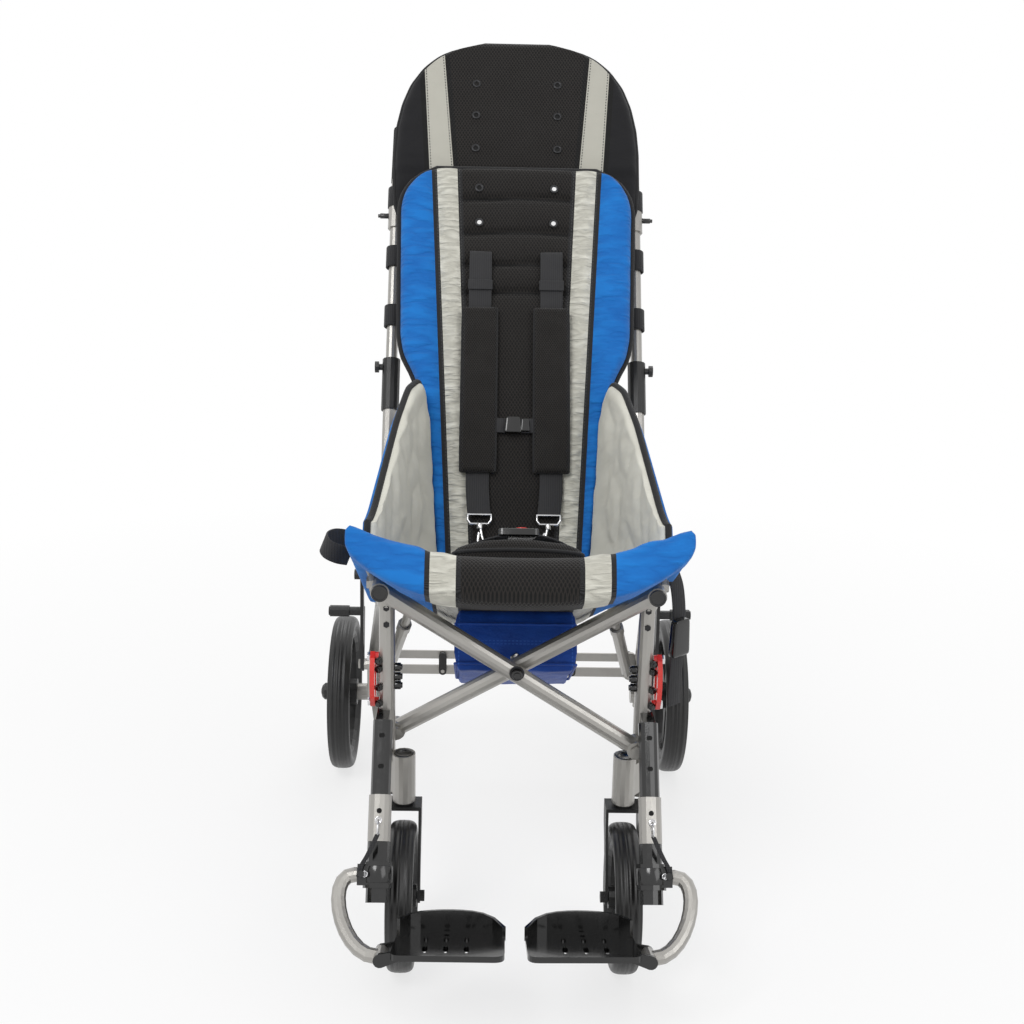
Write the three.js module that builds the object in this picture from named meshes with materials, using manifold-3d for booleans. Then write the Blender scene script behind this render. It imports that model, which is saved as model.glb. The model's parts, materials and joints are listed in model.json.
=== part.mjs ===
// Tilt in space positioning wheelchair, folding cross-brace frame.
// Millimetres. X runs across the chair, Y from front to back, Z is up from the floor.
import * as THREE from 'three';
import Module from 'manifold-3d';
import { mergeVertices } from 'three/addons/utils/BufferGeometryUtils.js';

const wasm = await Module();
wasm.setup();

// Shared clearances
const GAP = 0.3;
const RUNNING = 0.4;
const FLATNESS = 0.04;

// Overall layout
const POST_X = 164;
const POST_Y = 60;
const POST_RADIUS = 10;
const POST_TOP = 491.5;
const SEAT_TILT = THREE.MathUtils.degToRad(30);
const PIVOT_Z = 500;

// Casters
const CASTER_RADIUS = 95;
const CASTER_WIDTH = 34;
const CASTER_X = 142;
const CASTER_TRAIL = 40.5;
const CASTER_TYRE_HEIGHT = 21;
const CASTER_RIM_RADIUS = CASTER_RADIUS - CASTER_TYRE_HEIGHT;
const CROWN_CLEARANCE = 12;
const CROWN_THICKNESS = 5;
const CROWN_Z = 2 * CASTER_RADIUS + CROWN_CLEARANCE;
const BARREL_RADIUS = 15;
const BARREL_BOTTOM = CROWN_Z + CROWN_THICKNESS + 4;
const BARREL_TOP = BARREL_BOTTOM + 59;
const STEM_RADIUS = 8;
const POST_BOTTOM = BARREL_BOTTOM + 1;

// Rear wheels
const REAR_RADIUS = 127;
const REAR_WIDTH = 36;
const REAR_X = 272;
const REAR_Y = 572;
const REAR_TYRE_HEIGHT = 22;
const REAR_RIM_RADIUS = REAR_RADIUS - REAR_TYRE_HEIGHT;
const AXLE_RADIUS = 6;

// Rear part of the side frame
const UPRIGHT_X = 224;
const UPRIGHT_RADIUS = 11;
const UPRIGHT_TOP = 178;

// Cross-brace
const ARM_RADIUS = 11;
const ARM_FOOT_X = 154;
const ARM_FOOT_Z = 291;
const ARM_HEAD_X = 170;
const FRONT_ARM_Y = 33;
const REAR_ARM_HEAD_Y = 28.5;
const REAR_ARM_FOOT_Y = 84;
const ARM_PIN_RADIUS = 5;
const EYE_GAP = 1.5;

// Seat tubes
const SEAT_X = 190;
const SEAT_TUBE_RADIUS = 11;
const RAIL_RISE = 27;
const CANE_Y = 322;
const CANE_RADIUS = 9;
const SEAT_FRONT_Y = -104;

// Leg rests
const LEG_X = 166.5;
const LEG_TOP = [LEG_X, 20, 331];
const LEG_SLOPE = THREE.MathUtils.degToRad(33);
const LEG_RADIUS = 12.5;
const LEG_TUBE_RADIUS = 14;
const LEG_SIDES = 14;
const SLEEVE_RADIUS = 14.3;
const SLEEVE_START = 92;
const SLEEVE_END = 148;
const LEG_END = 220;
const PIN_PITCH = 38;

// Footplates
const PLATE_HINGE = [157, -167, 119];
const TOE_UP = THREE.MathUtils.degToRad(16);
const PLATE_OUTER = 17;
const PLATE_INNER = 145;
const PLATE_DEPTH = 90;
const PLATE_UNDERSIDE = 8;
const PLATE_THICKNESS = 7;
const LOOP_RADIUS = 9;

// Stretcher
const STRETCH_X = 206;
const STRETCH_UPPER_Z = 187;
const STRETCH_LOWER_Z = 160;
const STRETCH_LINK_X = 109;
const STRETCH_Y = 588;
const BAR_THICKNESS = 3.5;

const paint = (color, roughness, metalness) =>
  new THREE.MeshStandardMaterial({ color, roughness, metalness });
const silver = () => paint(0xa8a6a1, 0.38, 0.75);
const blackGloss = () => paint(0x141414, 0.25, 0.0);
const blackMatte = () => paint(0x1a1a1a, 0.6, 0.0);
const rubber = () => paint(0x1c1c1c, 0.75, 0.0);
const foam = () => paint(0x161616, 0.9, 0.0);
const red = () => paint(0xd8231d, 0.35, 0.1);
const blueFabric = () => paint(0x1f6fd6, 0.85, 0.0);
const blackMesh = () => paint(0x121212, 0.9, 0.0);
const greyFabric = () => paint(0xc6c5ba, 0.85, 0.0);
const darkBlue = () => paint(0x123f9a, 0.85, 0.0);
const webbing = () => paint(0x151515, 0.85, 0.0);

// Solid helpers
const toSolid = (geometry) => {
  const bare = geometry.clone();
  bare.deleteAttribute('normal');
  bare.deleteAttribute('uv');
  const welded = mergeVertices(bare, 1e-4);
  return new wasm.Manifold(new wasm.Mesh({
    numProp: 3,
    vertProperties: new Float32Array(welded.attributes.position.array),
    triVerts: new Uint32Array(welded.index.array),
  }));
};

const toGeometry = (solid) => {
  const mesh = solid.asOriginal().simplify(FLATNESS).getMesh();
  const geometry = new THREE.BufferGeometry();
  geometry.setAttribute('position', new THREE.BufferAttribute(new Float32Array(mesh.vertProperties), 3));
  geometry.setIndex(new THREE.BufferAttribute(new Uint32Array(mesh.triVerts), 1));
  geometry.computeVertexNormals();
  return geometry;
};

const join = (...geometries) => {
  let total = toSolid(geometries[0]);
  for (const geometry of geometries.slice(1)) {
    total = total.add(toSolid(geometry));
  }
  return toGeometry(total);
};

const cut = (base, ...tools) => {
  let rest = toSolid(base);
  for (const tool of tools) {
    rest = rest.subtract(toSolid(tool));
  }
  return toGeometry(rest);
};

const mirror = (geometry) => {
  const copy = geometry.index ? geometry.clone() : mergeVertices(geometry.clone());
  copy.scale(-1, 1, 1);
  const index = copy.index.array;
  for (let i = 0; i < index.length; i += 3) {
    const first = index[i];
    index[i] = index[i + 1];
    index[i + 1] = first;
  }
  copy.computeVertexNormals();
  return copy;
};

const move = (geometry, x, y, z) => geometry.translate(x, y, z);

// Circle outline with a chosen number of sides
const ringPoints = (radius, sides) => {
  const points = [];
  for (let i = 0; i < sides; i += 1) {
    const angle = (2 * Math.PI * i) / sides;
    points.push(new THREE.Vector2(radius * Math.cos(angle), radius * Math.sin(angle)));
  }
  return points;
};

// A path that is sampled at its own points, so straight runs stay plain
class BentPath extends THREE.Curve {
  constructor(points) {
    super();
    this.points = points;
  }

  at(u) {
    return Math.round(u * (this.points.length - 1));
  }

  getPointAt(u) {
    return this.points[this.at(u)].clone();
  }

  getTangentAt(u) {
    const i = this.at(u);
    const tangent = new THREE.Vector3();
    if (i < this.points.length - 1) {
      tangent.add(this.points[i + 1].clone().sub(this.points[i]).normalize());
    }
    if (i > 0) {
      tangent.add(this.points[i].clone().sub(this.points[i - 1]).normalize());
    }
    return tangent.normalize();
  }
}

// Corner points with each inner corner turned into an arc
const bend = (corners, radius, stages = 3) => {
  const nodes = corners.map((corner) => new THREE.Vector3(...corner));
  const points = [nodes[0]];
  for (let i = 1; i < nodes.length - 1; i += 1) {
    const before = nodes[i - 1].clone().sub(nodes[i]);
    const after = nodes[i + 1].clone().sub(nodes[i]);
    const half = before.angleTo(after) / 2;
    const reach = Math.min(radius / Math.tan(half), before.length() * 0.48, after.length() * 0.48);
    const start = nodes[i].clone().add(before.normalize().multiplyScalar(reach));
    const end = nodes[i].clone().add(after.normalize().multiplyScalar(reach));
    const arc = new THREE.QuadraticBezierCurve3(start, nodes[i], end);
    points.push(...arc.getPoints(stages));
  }
  points.push(nodes[nodes.length - 1]);
  return points;
};

const sweep = (points, outline) => new THREE.ExtrudeGeometry(new THREE.Shape(outline), {
  steps: points.length - 1,
  bevelEnabled: false,
  extrudePath: new BentPath(points),
});

const tube = (corners, radius, bendRadius = 40, sides = 10) =>
  sweep(bend(corners, bendRadius), ringPoints(radius, sides));

// Straight round bars along each axis, between two stations
const barX = (radius, x0, x1, y, z, sides = 10) =>
  move(new THREE.CylinderGeometry(radius, radius, x1 - x0, sides).rotateZ(Math.PI / 2), (x0 + x1) / 2, y, z);
const barY = (radius, y0, y1, x, z, sides = 10) =>
  move(new THREE.CylinderGeometry(radius, radius, y1 - y0, sides), x, (y0 + y1) / 2, z);
const barZ = (radius, z0, z1, x, y, sides = 10) =>
  move(new THREE.CylinderGeometry(radius, radius, z1 - z0, sides).rotateX(Math.PI / 2), x, y, (z0 + z1) / 2);
// Bores are drawn round their circle, so no facet comes nearer than the stated radius
const boreSize = (radius, sides) => radius / Math.cos(Math.PI / sides);
const boreX = (radius, x0, x1, y, z, sides = 12) => barX(boreSize(radius, sides), x0, x1, y, z, sides);
const boreY = (radius, y0, y1, x, z, sides = 12) => barY(boreSize(radius, sides), y0, y1, x, z, sides);
const boreZ = (radius, z0, z1, x, y, sides = 12) => barZ(boreSize(radius, sides), z0, z1, x, y, sides);
const block = (x0, x1, y0, y1, z0, z1) =>
  move(new THREE.BoxGeometry(x1 - x0, y1 - y0, z1 - z0), (x0 + x1) / 2, (y0 + y1) / 2, (z0 + z1) / 2);

// Flat plates cut from an outline: across X from a (y, z) outline, across Y from (x, z), across Z from (x, y)
const plateX = (outline, x0, x1) => {
  const plate = new THREE.ExtrudeGeometry(outline, { depth: x1 - x0, bevelEnabled: false, curveSegments: 6 });
  return plate.rotateX(Math.PI / 2).rotateZ(Math.PI / 2).translate(x0, 0, 0);
};
const plateY = (outline, y0, y1) => {
  const plate = new THREE.ExtrudeGeometry(outline, { depth: y1 - y0, bevelEnabled: false, curveSegments: 6 });
  return plate.rotateX(Math.PI / 2).translate(0, y1, 0);
};
const plateZ = (outline, z0, z1) =>
  new THREE.ExtrudeGeometry(outline, { depth: z1 - z0, bevelEnabled: false, curveSegments: 5 }).translate(0, 0, z0);

// Two round ends joined by straight sides
const strapShape = (ax, ay, ra, bx, by, rb, sides = 7) => {
  const along = Math.atan2(by - ay, bx - ax);
  const points = [];
  for (let i = 0; i <= sides; i += 1) {
    const angle = along + Math.PI / 2 + (Math.PI * i) / sides;
    points.push(new THREE.Vector2(ax + ra * Math.cos(angle), ay + ra * Math.sin(angle)));
  }
  for (let i = 0; i <= sides; i += 1) {
    const angle = along - Math.PI / 2 + (Math.PI * i) / sides;
    points.push(new THREE.Vector2(bx + rb * Math.cos(angle), by + rb * Math.sin(angle)));
  }
  return new THREE.Shape(points);
};

const ovalHole = (x, y, rx, ry) => {
  const hole = new THREE.Path();
  hole.absellipse(x, y, rx, ry, 0, 2 * Math.PI, true);
  return hole;
};

// A body of revolution about X from a closed (distance along X, radius) profile, drawn either way round
const revolveX = (profile, sides = 20, turn = 0) => {
  const points = profile.map(([along, radius]) => new THREE.Vector2(radius, along));
  if (THREE.ShapeUtils.area(points) < 0) {
    points.reverse();
  }
  points.push(points[0].clone());
  return new THREE.LatheGeometry(points, sides, turn).rotateZ(-Math.PI / 2);
};

const lerp = (a, b, t) => a + (b - a) * t;
const smooth = (t) => {
  const u = Math.min(1, Math.max(0, t));
  return u * u * (3 - 2 * u);
};
const curve = (table, at) => {
  const last = table.length - 1;
  if (at <= table[0][0]) return table[0][1];
  if (at >= table[last][0]) return table[last][1];
  const k = table.findIndex((row) => row[0] >= at);
  return lerp(table[k - 1][1], table[k][1], (at - table[k - 1][0]) / (table[k][0] - table[k - 1][0]));
};

// A closed pad from two faces that share one grid: face(u, v, side) gives a point
const pad = (us, vs, face) => {
  const positions = [];
  const index = [];
  const columns = us.length;
  const rows = vs.length;
  for (const side of [0, 1]) {
    for (const v of vs) {
      for (const u of us) {
        positions.push(...face(u, v, side));
      }
    }
  }
  const at = (i, j, side) => side * columns * rows + j * columns + i;
  const quad = (a, b, c, d) => index.push(a, b, c, a, c, d);
  for (let j = 0; j < rows - 1; j += 1) {
    for (let i = 0; i < columns - 1; i += 1) {
      quad(at(i, j, 1), at(i + 1, j, 1), at(i + 1, j + 1, 1), at(i, j + 1, 1));
      quad(at(i, j, 0), at(i, j + 1, 0), at(i + 1, j + 1, 0), at(i + 1, j, 0));
    }
  }
  for (let i = 0; i < columns - 1; i += 1) {
    quad(at(i, 0, 0), at(i + 1, 0, 0), at(i + 1, 0, 1), at(i, 0, 1));
    quad(at(i + 1, rows - 1, 0), at(i, rows - 1, 0), at(i, rows - 1, 1), at(i + 1, rows - 1, 1));
  }
  for (let j = 0; j < rows - 1; j += 1) {
    quad(at(0, j + 1, 0), at(0, j, 0), at(0, j, 1), at(0, j + 1, 1));
    quad(at(columns - 1, j, 0), at(columns - 1, j + 1, 0), at(columns - 1, j + 1, 1), at(columns - 1, j, 1));
  }
  const geometry = new THREE.BufferGeometry();
  geometry.setAttribute('position', new THREE.Float32BufferAttribute(positions, 3));
  geometry.setIndex(index);
  geometry.computeVertexNormals();
  return geometry;
};

const steps = (from, to, count) => Array.from({ length: count + 1 }, (_, i) => lerp(from, to, i / count));

// Named nodes and groups
const chair = new THREE.Group();
chair.name = 'chair';
const seatGroup = new THREE.Group();
seatGroup.name = 'seat_unit';
seatGroup.position.set(0, POST_Y, PIVOT_Z);
seatGroup.rotation.x = -SEAT_TILT;
chair.add(seatGroup);

const group = (name, position, tilt) => {
  const made = new THREE.Group();
  made.name = name;
  made.position.set(...position);
  made.rotation.x = tilt;
  chair.add(made);
  return made;
};

const part = (name, geometry, material, parent = chair, position = [0, 0, 0]) => {
  const mesh = new THREE.Mesh(geometry, material);
  mesh.name = name;
  mesh.position.set(...position);
  parent.add(mesh);
  return mesh;
};

// The right piece is built, and the left one is its mirror image
const pair = (name, geometry, material, parents = [chair, chair], position = [0, 0, 0]) => {
  const [x, y, z] = position;
  part(`${name}_right`, geometry, material(), parents[1], [x, y, z]);
  part(`${name}_left`, mirror(geometry), material(), parents[0], [-x, y, z]);
};

// Front posts with the caster barrels and the lower pivot pins of the cross-brace
const RECESS = 6.5;
const WEB_INSET = 1;
const postCore = () => {
  const post = barZ(POST_RADIUS, POST_BOTTOM, POST_TOP, POST_X, POST_Y, 12);
  const barrel = revolveX([
    [BARREL_BOTTOM, 0], [BARREL_BOTTOM, BARREL_RADIUS], [BARREL_TOP + RECESS, BARREL_RADIUS],
    [BARREL_TOP + RECESS, BARREL_RADIUS - 2], [BARREL_TOP, BARREL_RADIUS - 2], [BARREL_TOP, 0],
  ], 16).rotateY(-Math.PI / 2);
  move(barrel, CASTER_X, CASTER_TRAIL, 0);
  const web = strapShape(
    CASTER_X, CASTER_TRAIL, BARREL_RADIUS - WEB_INSET, POST_X, POST_Y, POST_RADIUS - WEB_INSET,
  );
  return join(post, barrel, plateZ(web, BARREL_BOTTOM + 11, BARREL_TOP - 4));
};

const GUIDE_RADIUS = 6.5;
const GUIDE_BOTTOM = 300;
const postBores = () => [
  boreZ(GUIDE_RADIUS + RUNNING, GUIDE_BOTTOM - 4, POST_TOP + 1, POST_X, POST_Y),
  boreZ(STEM_RADIUS + RUNNING, BARREL_BOTTOM - 1, BARREL_TOP - 6, CASTER_X, CASTER_TRAIL),
];

const armPin = (eyeY, wallY) => {
  const outward = Math.sign(eyeY - wallY);
  const near = eyeY - outward * (ARM_RADIUS + EYE_GAP);
  const far = eyeY + outward * (ARM_RADIUS + EYE_GAP);
  const boss = [near, wallY].sort((a, b) => a - b);
  const pin = [wallY, far].sort((a, b) => a - b);
  const head = [far, far + outward * 3].sort((a, b) => a - b);
  return [
    barY(8.5, boss[0], boss[1], ARM_FOOT_X, ARM_FOOT_Z),
    barY(ARM_PIN_RADIUS, pin[0], pin[1], ARM_FOOT_X, ARM_FOOT_Z),
    barY(8, head[0], head[1], ARM_FOOT_X, ARM_FOOT_Z, 6),
  ];
};

const postRight = cut(join(postCore(), ...armPin(FRONT_ARM_Y, POST_Y - 4)), ...postBores());
const postLeft = cut(join(postCore(), ...armPin(REAR_ARM_FOOT_Y, POST_Y + 4)), ...postBores());
part('front_post_right', postRight, silver());
part('front_post_left', mirror(postLeft), silver());

// Side frames: lower rail, rear upright, axle, stretcher bracket and wheel-lock bracket
const LOCK_Y = 440;
const LOCK_Z = 232;
const LOCK_X = 228;
const AXLE_Z = REAR_RADIUS;
const rail = tube([
  [POST_X, POST_Y + 6, 240], [POST_X + 1, POST_Y + 14, 240], [UPRIGHT_X, REAR_Y - 4, 156], [UPRIGHT_X, REAR_Y, 156],
], POST_RADIUS, 10);
const upright = barZ(UPRIGHT_RADIUS, 106, UPRIGHT_TOP, UPRIGHT_X, REAR_Y, 12);
const axle = join(
  barX(14, 208, REAR_X - 21, REAR_Y, AXLE_Z, 12),
  barX(AXLE_RADIUS, 240, REAR_X + 28, REAR_Y, AXLE_Z, 14),
);
const bracketOutline = strapShape(
  STRETCH_X + 1, STRETCH_LOWER_Z, 11, STRETCH_X + 1, STRETCH_UPPER_Z, 11,
);
const tabOutline = strapShape(STRETCH_X, STRETCH_LOWER_Z, 9, UPRIGHT_X, STRETCH_LOWER_Z, 9);
const bracketY = REAR_Y + UPRIGHT_RADIUS - 2;
const bracket = join(
  plateY(bracketOutline, bracketY, STRETCH_Y - 0.6),
  plateY(tabOutline, bracketY, STRETCH_Y - 0.6),
);
const lockBracket = plateX(strapShape(LOCK_Y, LOCK_Z, 12, LOCK_Y + 4, 178, 12), 216, 222);
const lockPin = join(
  barX(9, 218, LOCK_X - GAP, LOCK_Y, LOCK_Z),
  barX(4.5, 220, LOCK_X + 6, LOCK_Y, LOCK_Z),
  barX(8, LOCK_X + 5.4, LOCK_X + 8.5, LOCK_Y, LOCK_Z, 6),
);
const sideBody = join(rail, upright, axle, bracket, lockBracket, lockPin);
const postSocket = boreZ(POST_RADIUS + GAP, 150, 330, POST_X, POST_Y);
// Stretcher pins: the right bars run in the front layer, the left bars in the layer behind
const stretchPins = (layer) => {
  const from = bracketY;
  const bars = STRETCH_Y + layer * (BAR_THICKNESS + GAP);
  const made = [];
  for (const z of [STRETCH_LOWER_Z, STRETCH_UPPER_Z]) {
    made.push(barY(6, from, bars - GAP, STRETCH_X, z));
    made.push(barY(3.5, from, bars + BAR_THICKNESS + 2, STRETCH_X, z));
    made.push(barY(6.5, bars + BAR_THICKNESS + GAP, bars + BAR_THICKNESS + 3.3, STRETCH_X, z, 6));
  }
  return made;
};
part('side_frame_right', join(cut(sideBody, postSocket), ...stretchPins(0)), silver());
part('side_frame_left', mirror(join(cut(sideBody, postSocket), ...stretchPins(1))), silver());

// Tie-down rings on the outer side of the posts
const RING_X = 179;
const RING_Z = 370;
const ringOutline = new THREE.Shape();
ringOutline.absellipse(POST_Y, RING_Z, 21, 38, 0, 2 * Math.PI, false);
ringOutline.holes.push(ovalHole(POST_Y, RING_Z, 11, 27));
const ringLugs = [RING_Z - 31, RING_Z + 31].map((z) => barX(6, POST_X + POST_RADIUS + 0.5, RING_X + 1, POST_Y, z, 12));
pair('tie_down', join(plateX(ringOutline, RING_X, RING_X + 6), ...ringLugs), red);

// Wheel locks: a hand lever with a bar that swings onto the tyre
const LOCK_BAR = [462, 312];
const leverOutline = strapShape(LOCK_Y, LOCK_Z, 11, 450, 376, 6);
const forkOutline = strapShape(LOCK_Y + 3, LOCK_Z + 14, 8, LOCK_BAR[0], LOCK_BAR[1], 8);
const lever = cut(
  join(plateX(leverOutline, LOCK_X, LOCK_X + 5), plateX(forkOutline, LOCK_X, LOCK_X + 5)),
  boreX(4.5 + RUNNING, LOCK_X - 2, LOCK_X + 8, LOCK_Y, LOCK_Z),
);
const lockBar = join(
  barX(7, LOCK_X + 1, 284, LOCK_BAR[0], LOCK_BAR[1], 12),
  barX(9, 252, 282, LOCK_BAR[0], LOCK_BAR[1], 12),
);
pair('wheel_lock', join(lever, lockBar, barX(8, LOCK_X - 1, LOCK_X + 14, 450, 377, 14)), blackMatte);

// Wheels
const WHEEL_SIDES = 24;
// Drawn round its circle and turned half a facet, so a wheel stands on a flat of its full radius
const roundX = (profile) => revolveX(
  profile.map(([along, radius]) => [along, boreSize(radius, WHEEL_SIDES)]), WHEEL_SIDES, Math.PI / WHEEL_SIDES,
);
const wheel = (radius, rimRadius, width, hubRadius, hubHalf, bore, spokes, capEnd) => {
  const w = width / 2;
  const tyreGeometry = roundX([
    [-w + 5, rimRadius], [-w, rimRadius + 7], [-w + 2, radius - 4], [-w * 0.4, radius],
    [w * 0.4, radius], [w - 2, radius - 4], [w, rimRadius + 7], [w - 5, rimRadius],
  ]);
  const rimOuter = rimRadius - GAP;
  const ring = roundX([
    [-w + 5, rimOuter], [-w + 3, rimOuter - 8], [-w + 8, rimOuter - 12],
    [w - 8, rimOuter - 12], [w - 3, rimOuter - 8], [w - 5, rimOuter],
  ]);
  const hub = revolveX([
    [-hubHalf, 0], [-hubHalf, hubRadius], [hubHalf, hubRadius], [hubHalf, 0],
  ], 12);
  const pieces = [ring, hub];
  for (let i = 0; i < spokes; i += 1) {
    const spoke = strapShape(0, hubRadius * 0.6, 9, 0, rimOuter - 11.5, 6.5, 4);
    const blade = plateX(spoke, -4.5, 4.5).rotateX((2 * Math.PI * i) / spokes);
    pieces.push(blade);
  }
  if (capEnd > 0) {
    pieces.push(revolveX([
      [hubHalf - 2, 0], [hubHalf - 2, 15], [capEnd - 6, 14], [capEnd - 2, 10], [capEnd, 4], [capEnd, 0],
    ], 12));
  }
  const boreEnd = capEnd > 0 ? hubHalf + 8 : hubHalf + 1;
  const rimGeometry = cut(join(...pieces), boreX(bore, -hubHalf - 1, boreEnd, 0, 0));
  return [tyreGeometry, rimGeometry];
};

const FORK_PIN_RADIUS = 5;
const [casterTyre, casterRim] = wheel(
  CASTER_RADIUS, CASTER_RIM_RADIUS, CASTER_WIDTH, 15, 18.5, FORK_PIN_RADIUS + RUNNING, 5, 0,
);
const casterSpot = [CASTER_X, 0, CASTER_RADIUS];
pair('caster_tyre', casterTyre, rubber, [chair, chair], casterSpot);
pair('caster_rim', casterRim, blackMatte, [chair, chair], casterSpot);

const [rearTyre, rearRim] = wheel(
  REAR_RADIUS, REAR_RIM_RADIUS, REAR_WIDTH, 22, 20.5, AXLE_RADIUS + RUNNING, 6, 40,
);
const rearSpot = [REAR_X, REAR_Y, REAR_RADIUS];
pair('rear_tyre', rearTyre, rubber, [chair, chair], rearSpot);
pair('rear_rim', rearRim, blackMatte, [chair, chair], rearSpot);

// Caster forks: swept blades under a folded crown, with the stem in the barrel
const FORK_INNER = 19.5;
const FORK_BLADE = 3.5;
const bladeOutline = new THREE.Shape();
bladeOutline.moveTo(CASTER_TRAIL - 15, CROWN_Z + CROWN_THICKNESS);
bladeOutline.lineTo(CASTER_TRAIL + 15, CROWN_Z + CROWN_THICKNESS);
bladeOutline.quadraticCurveTo(CASTER_TRAIL + 16, CROWN_Z - 22, CASTER_TRAIL + 2, CROWN_Z - 34);
bladeOutline.quadraticCurveTo(14, CASTER_RADIUS + 35, 9.5, CASTER_RADIUS);
bladeOutline.absarc(0, CASTER_RADIUS, 9.5, 0, Math.PI, true);
bladeOutline.quadraticCurveTo(-4, CASTER_RADIUS + 37, 16, CROWN_Z - 34);
bladeOutline.quadraticCurveTo(CASTER_TRAIL - 16, CROWN_Z - 14, CASTER_TRAIL - 15, CROWN_Z + CROWN_THICKNESS);
const blade = (x) => plateX(bladeOutline, x, x + FORK_BLADE);
const fork = join(
  blade(FORK_INNER),
  blade(-FORK_INNER - FORK_BLADE),
  block(-FORK_INNER - FORK_BLADE, FORK_INNER + FORK_BLADE, CASTER_TRAIL - 15, CASTER_TRAIL + 15, CROWN_Z,
    CROWN_Z + CROWN_THICKNESS),
  barZ(12, CROWN_Z + 4, BARREL_BOTTOM - GAP, 0, CASTER_TRAIL),
  barZ(STEM_RADIUS, CROWN_Z + 4, BARREL_TOP - 8, 0, CASTER_TRAIL),
  barX(FORK_PIN_RADIUS, -FORK_INNER - 1, FORK_INNER + 1, 0, CASTER_RADIUS),
  barX(8, FORK_INNER + 1, FORK_INNER + 9, 0, CASTER_RADIUS, 6),
  barX(8, -FORK_INNER - 9, -FORK_INNER - 1, 0, CASTER_RADIUS, 6),
);
pair('caster_fork', fork, blackMatte, [chair, chair], [CASTER_X, 0, 0]);

// Cross-brace arms
const arm = (footX, footY, headX, headY) => {
  const foot = new THREE.Vector3(footX, footY, ARM_FOOT_Z);
  const head = new THREE.Vector3(headX, headY, PIVOT_Z);
  const bar = sweep([foot, head], ringPoints(ARM_RADIUS, 14));
  const eyeAt = (x, y, z) => barY(ARM_RADIUS + 1, y - ARM_RADIUS, y + ARM_RADIUS, x, z, 14);
  const body = join(bar, eyeAt(footX, footY, ARM_FOOT_Z), eyeAt(headX, headY, PIVOT_Z));
  return cut(body, boreY(ARM_PIN_RADIUS + RUNNING, footY - 30, footY + 30, footX, ARM_FOOT_Z));
};
part('brace_arm_front', arm(ARM_FOOT_X, FRONT_ARM_Y, -ARM_HEAD_X, FRONT_ARM_Y), silver());
part('brace_arm_rear', arm(-ARM_FOOT_X, REAR_ARM_FOOT_Y, ARM_HEAD_X, REAR_ARM_HEAD_Y), silver());

// Seat carriers: collar and guide rod on the post, sloping rail, rear foot, strut pivot
const COLLAR_BOTTOM = 471;
const COLLAR_TOP = 500;
const PIVOT_RADIUS = 5;
const LUG_X = 179.5;
const LUG_WIDTH = 6;
const STRUT_FOOT = [196, 530, 186];
const SWING_REACH = 32;
const carrier = (headY, footY) => {
  // An arm that leans needs more room behind its eye, because it swings past the stub
  const lean = Math.abs(footY - headY) / (ARM_FOOT_X + ARM_HEAD_X);
  const stubFront = headY + ARM_RADIUS + EYE_GAP + SWING_REACH * lean;
  const collar = cut(
    join(
      barZ(12.3, COLLAR_BOTTOM, COLLAR_TOP, POST_X, POST_Y, 12),
      barY(7, stubFront, POST_Y - 4, ARM_HEAD_X, PIVOT_Z - 2),
      barX(10, POST_X, LUG_X - GAP, POST_Y, PIVOT_Z),
    ),
    boreZ(POST_RADIUS + RUNNING, COLLAR_BOTTOM - 1, POST_TOP + RUNNING, POST_X, POST_Y),
  );
  return join(
    collar,
    barZ(GUIDE_RADIUS, GUIDE_BOTTOM, COLLAR_TOP - 2, POST_X, POST_Y),
    barX(PIVOT_RADIUS, POST_X, LUG_X + LUG_WIDTH + 3, POST_Y, PIVOT_Z),
    barX(8, LUG_X + LUG_WIDTH + GAP, LUG_X + LUG_WIDTH + 3.3, POST_Y, PIVOT_Z, 6),
    tube([
      [POST_X + 4, POST_Y + 19, 481], [UPRIGHT_X - 5, REAR_Y - 37, 210], [UPRIGHT_X, REAR_Y, 192],
    ], POST_RADIUS, 40),
    block(POST_X - 3, POST_X + 9, POST_Y + 10.8, POST_Y + 24, 474, 492),
    barZ(8.5, UPRIGHT_TOP + GAP, 200, UPRIGHT_X, REAR_Y),
    tube([[219, 528, 212], [217, STRUT_FOOT[1], STRUT_FOOT[2]], [STRUT_FOOT[0] + 10, STRUT_FOOT[1], STRUT_FOOT[2]]],
      6, 8, 12),
  );
};
part('seat_carrier_right', carrier(REAR_ARM_HEAD_Y, REAR_ARM_FOOT_Y), silver());
part('seat_carrier_left', mirror(carrier(FRONT_ARM_Y, FRONT_ARM_Y)), silver());

// Seat frame in the tilted frame of the seat: y along the rail, z away from it
const seatParents = [seatGroup, seatGroup];
const LOWER_TUBE_TOP = 350;
const CANE_BOTTOM = 235;
const STUB = [308, 38];
const STUB_END = 155;
const seatTube = tube([
  [SEAT_X + 4, SEAT_FRONT_Y, RAIL_RISE + 2], [SEAT_X, -50, RAIL_RISE],
  [SEAT_X, CANE_Y, RAIL_RISE], [SEAT_X, CANE_Y, LOWER_TUBE_TOP],
], SEAT_TUBE_RADIUS);
const lugOutline = strapShape(0, 0, 11, 0, RAIL_RISE - 4, 9);
const seatFrame = cut(
  join(
    seatTube,
    plateX(lugOutline, LUG_X, LUG_X + LUG_WIDTH),
    barX(6, STUB_END, SEAT_X - 5, STUB[0], STUB[1], 12),
  ),
  boreX(PIVOT_RADIUS + RUNNING, LUG_X - 3, LUG_X + LUG_WIDTH + 1, 0, 0),
  boreZ(CANE_RADIUS + RUNNING, CANE_BOTTOM - 8, LOWER_TUBE_TOP + 1, SEAT_X, CANE_Y),
);
pair('seat_frame', seatFrame, silver, seatParents);

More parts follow.
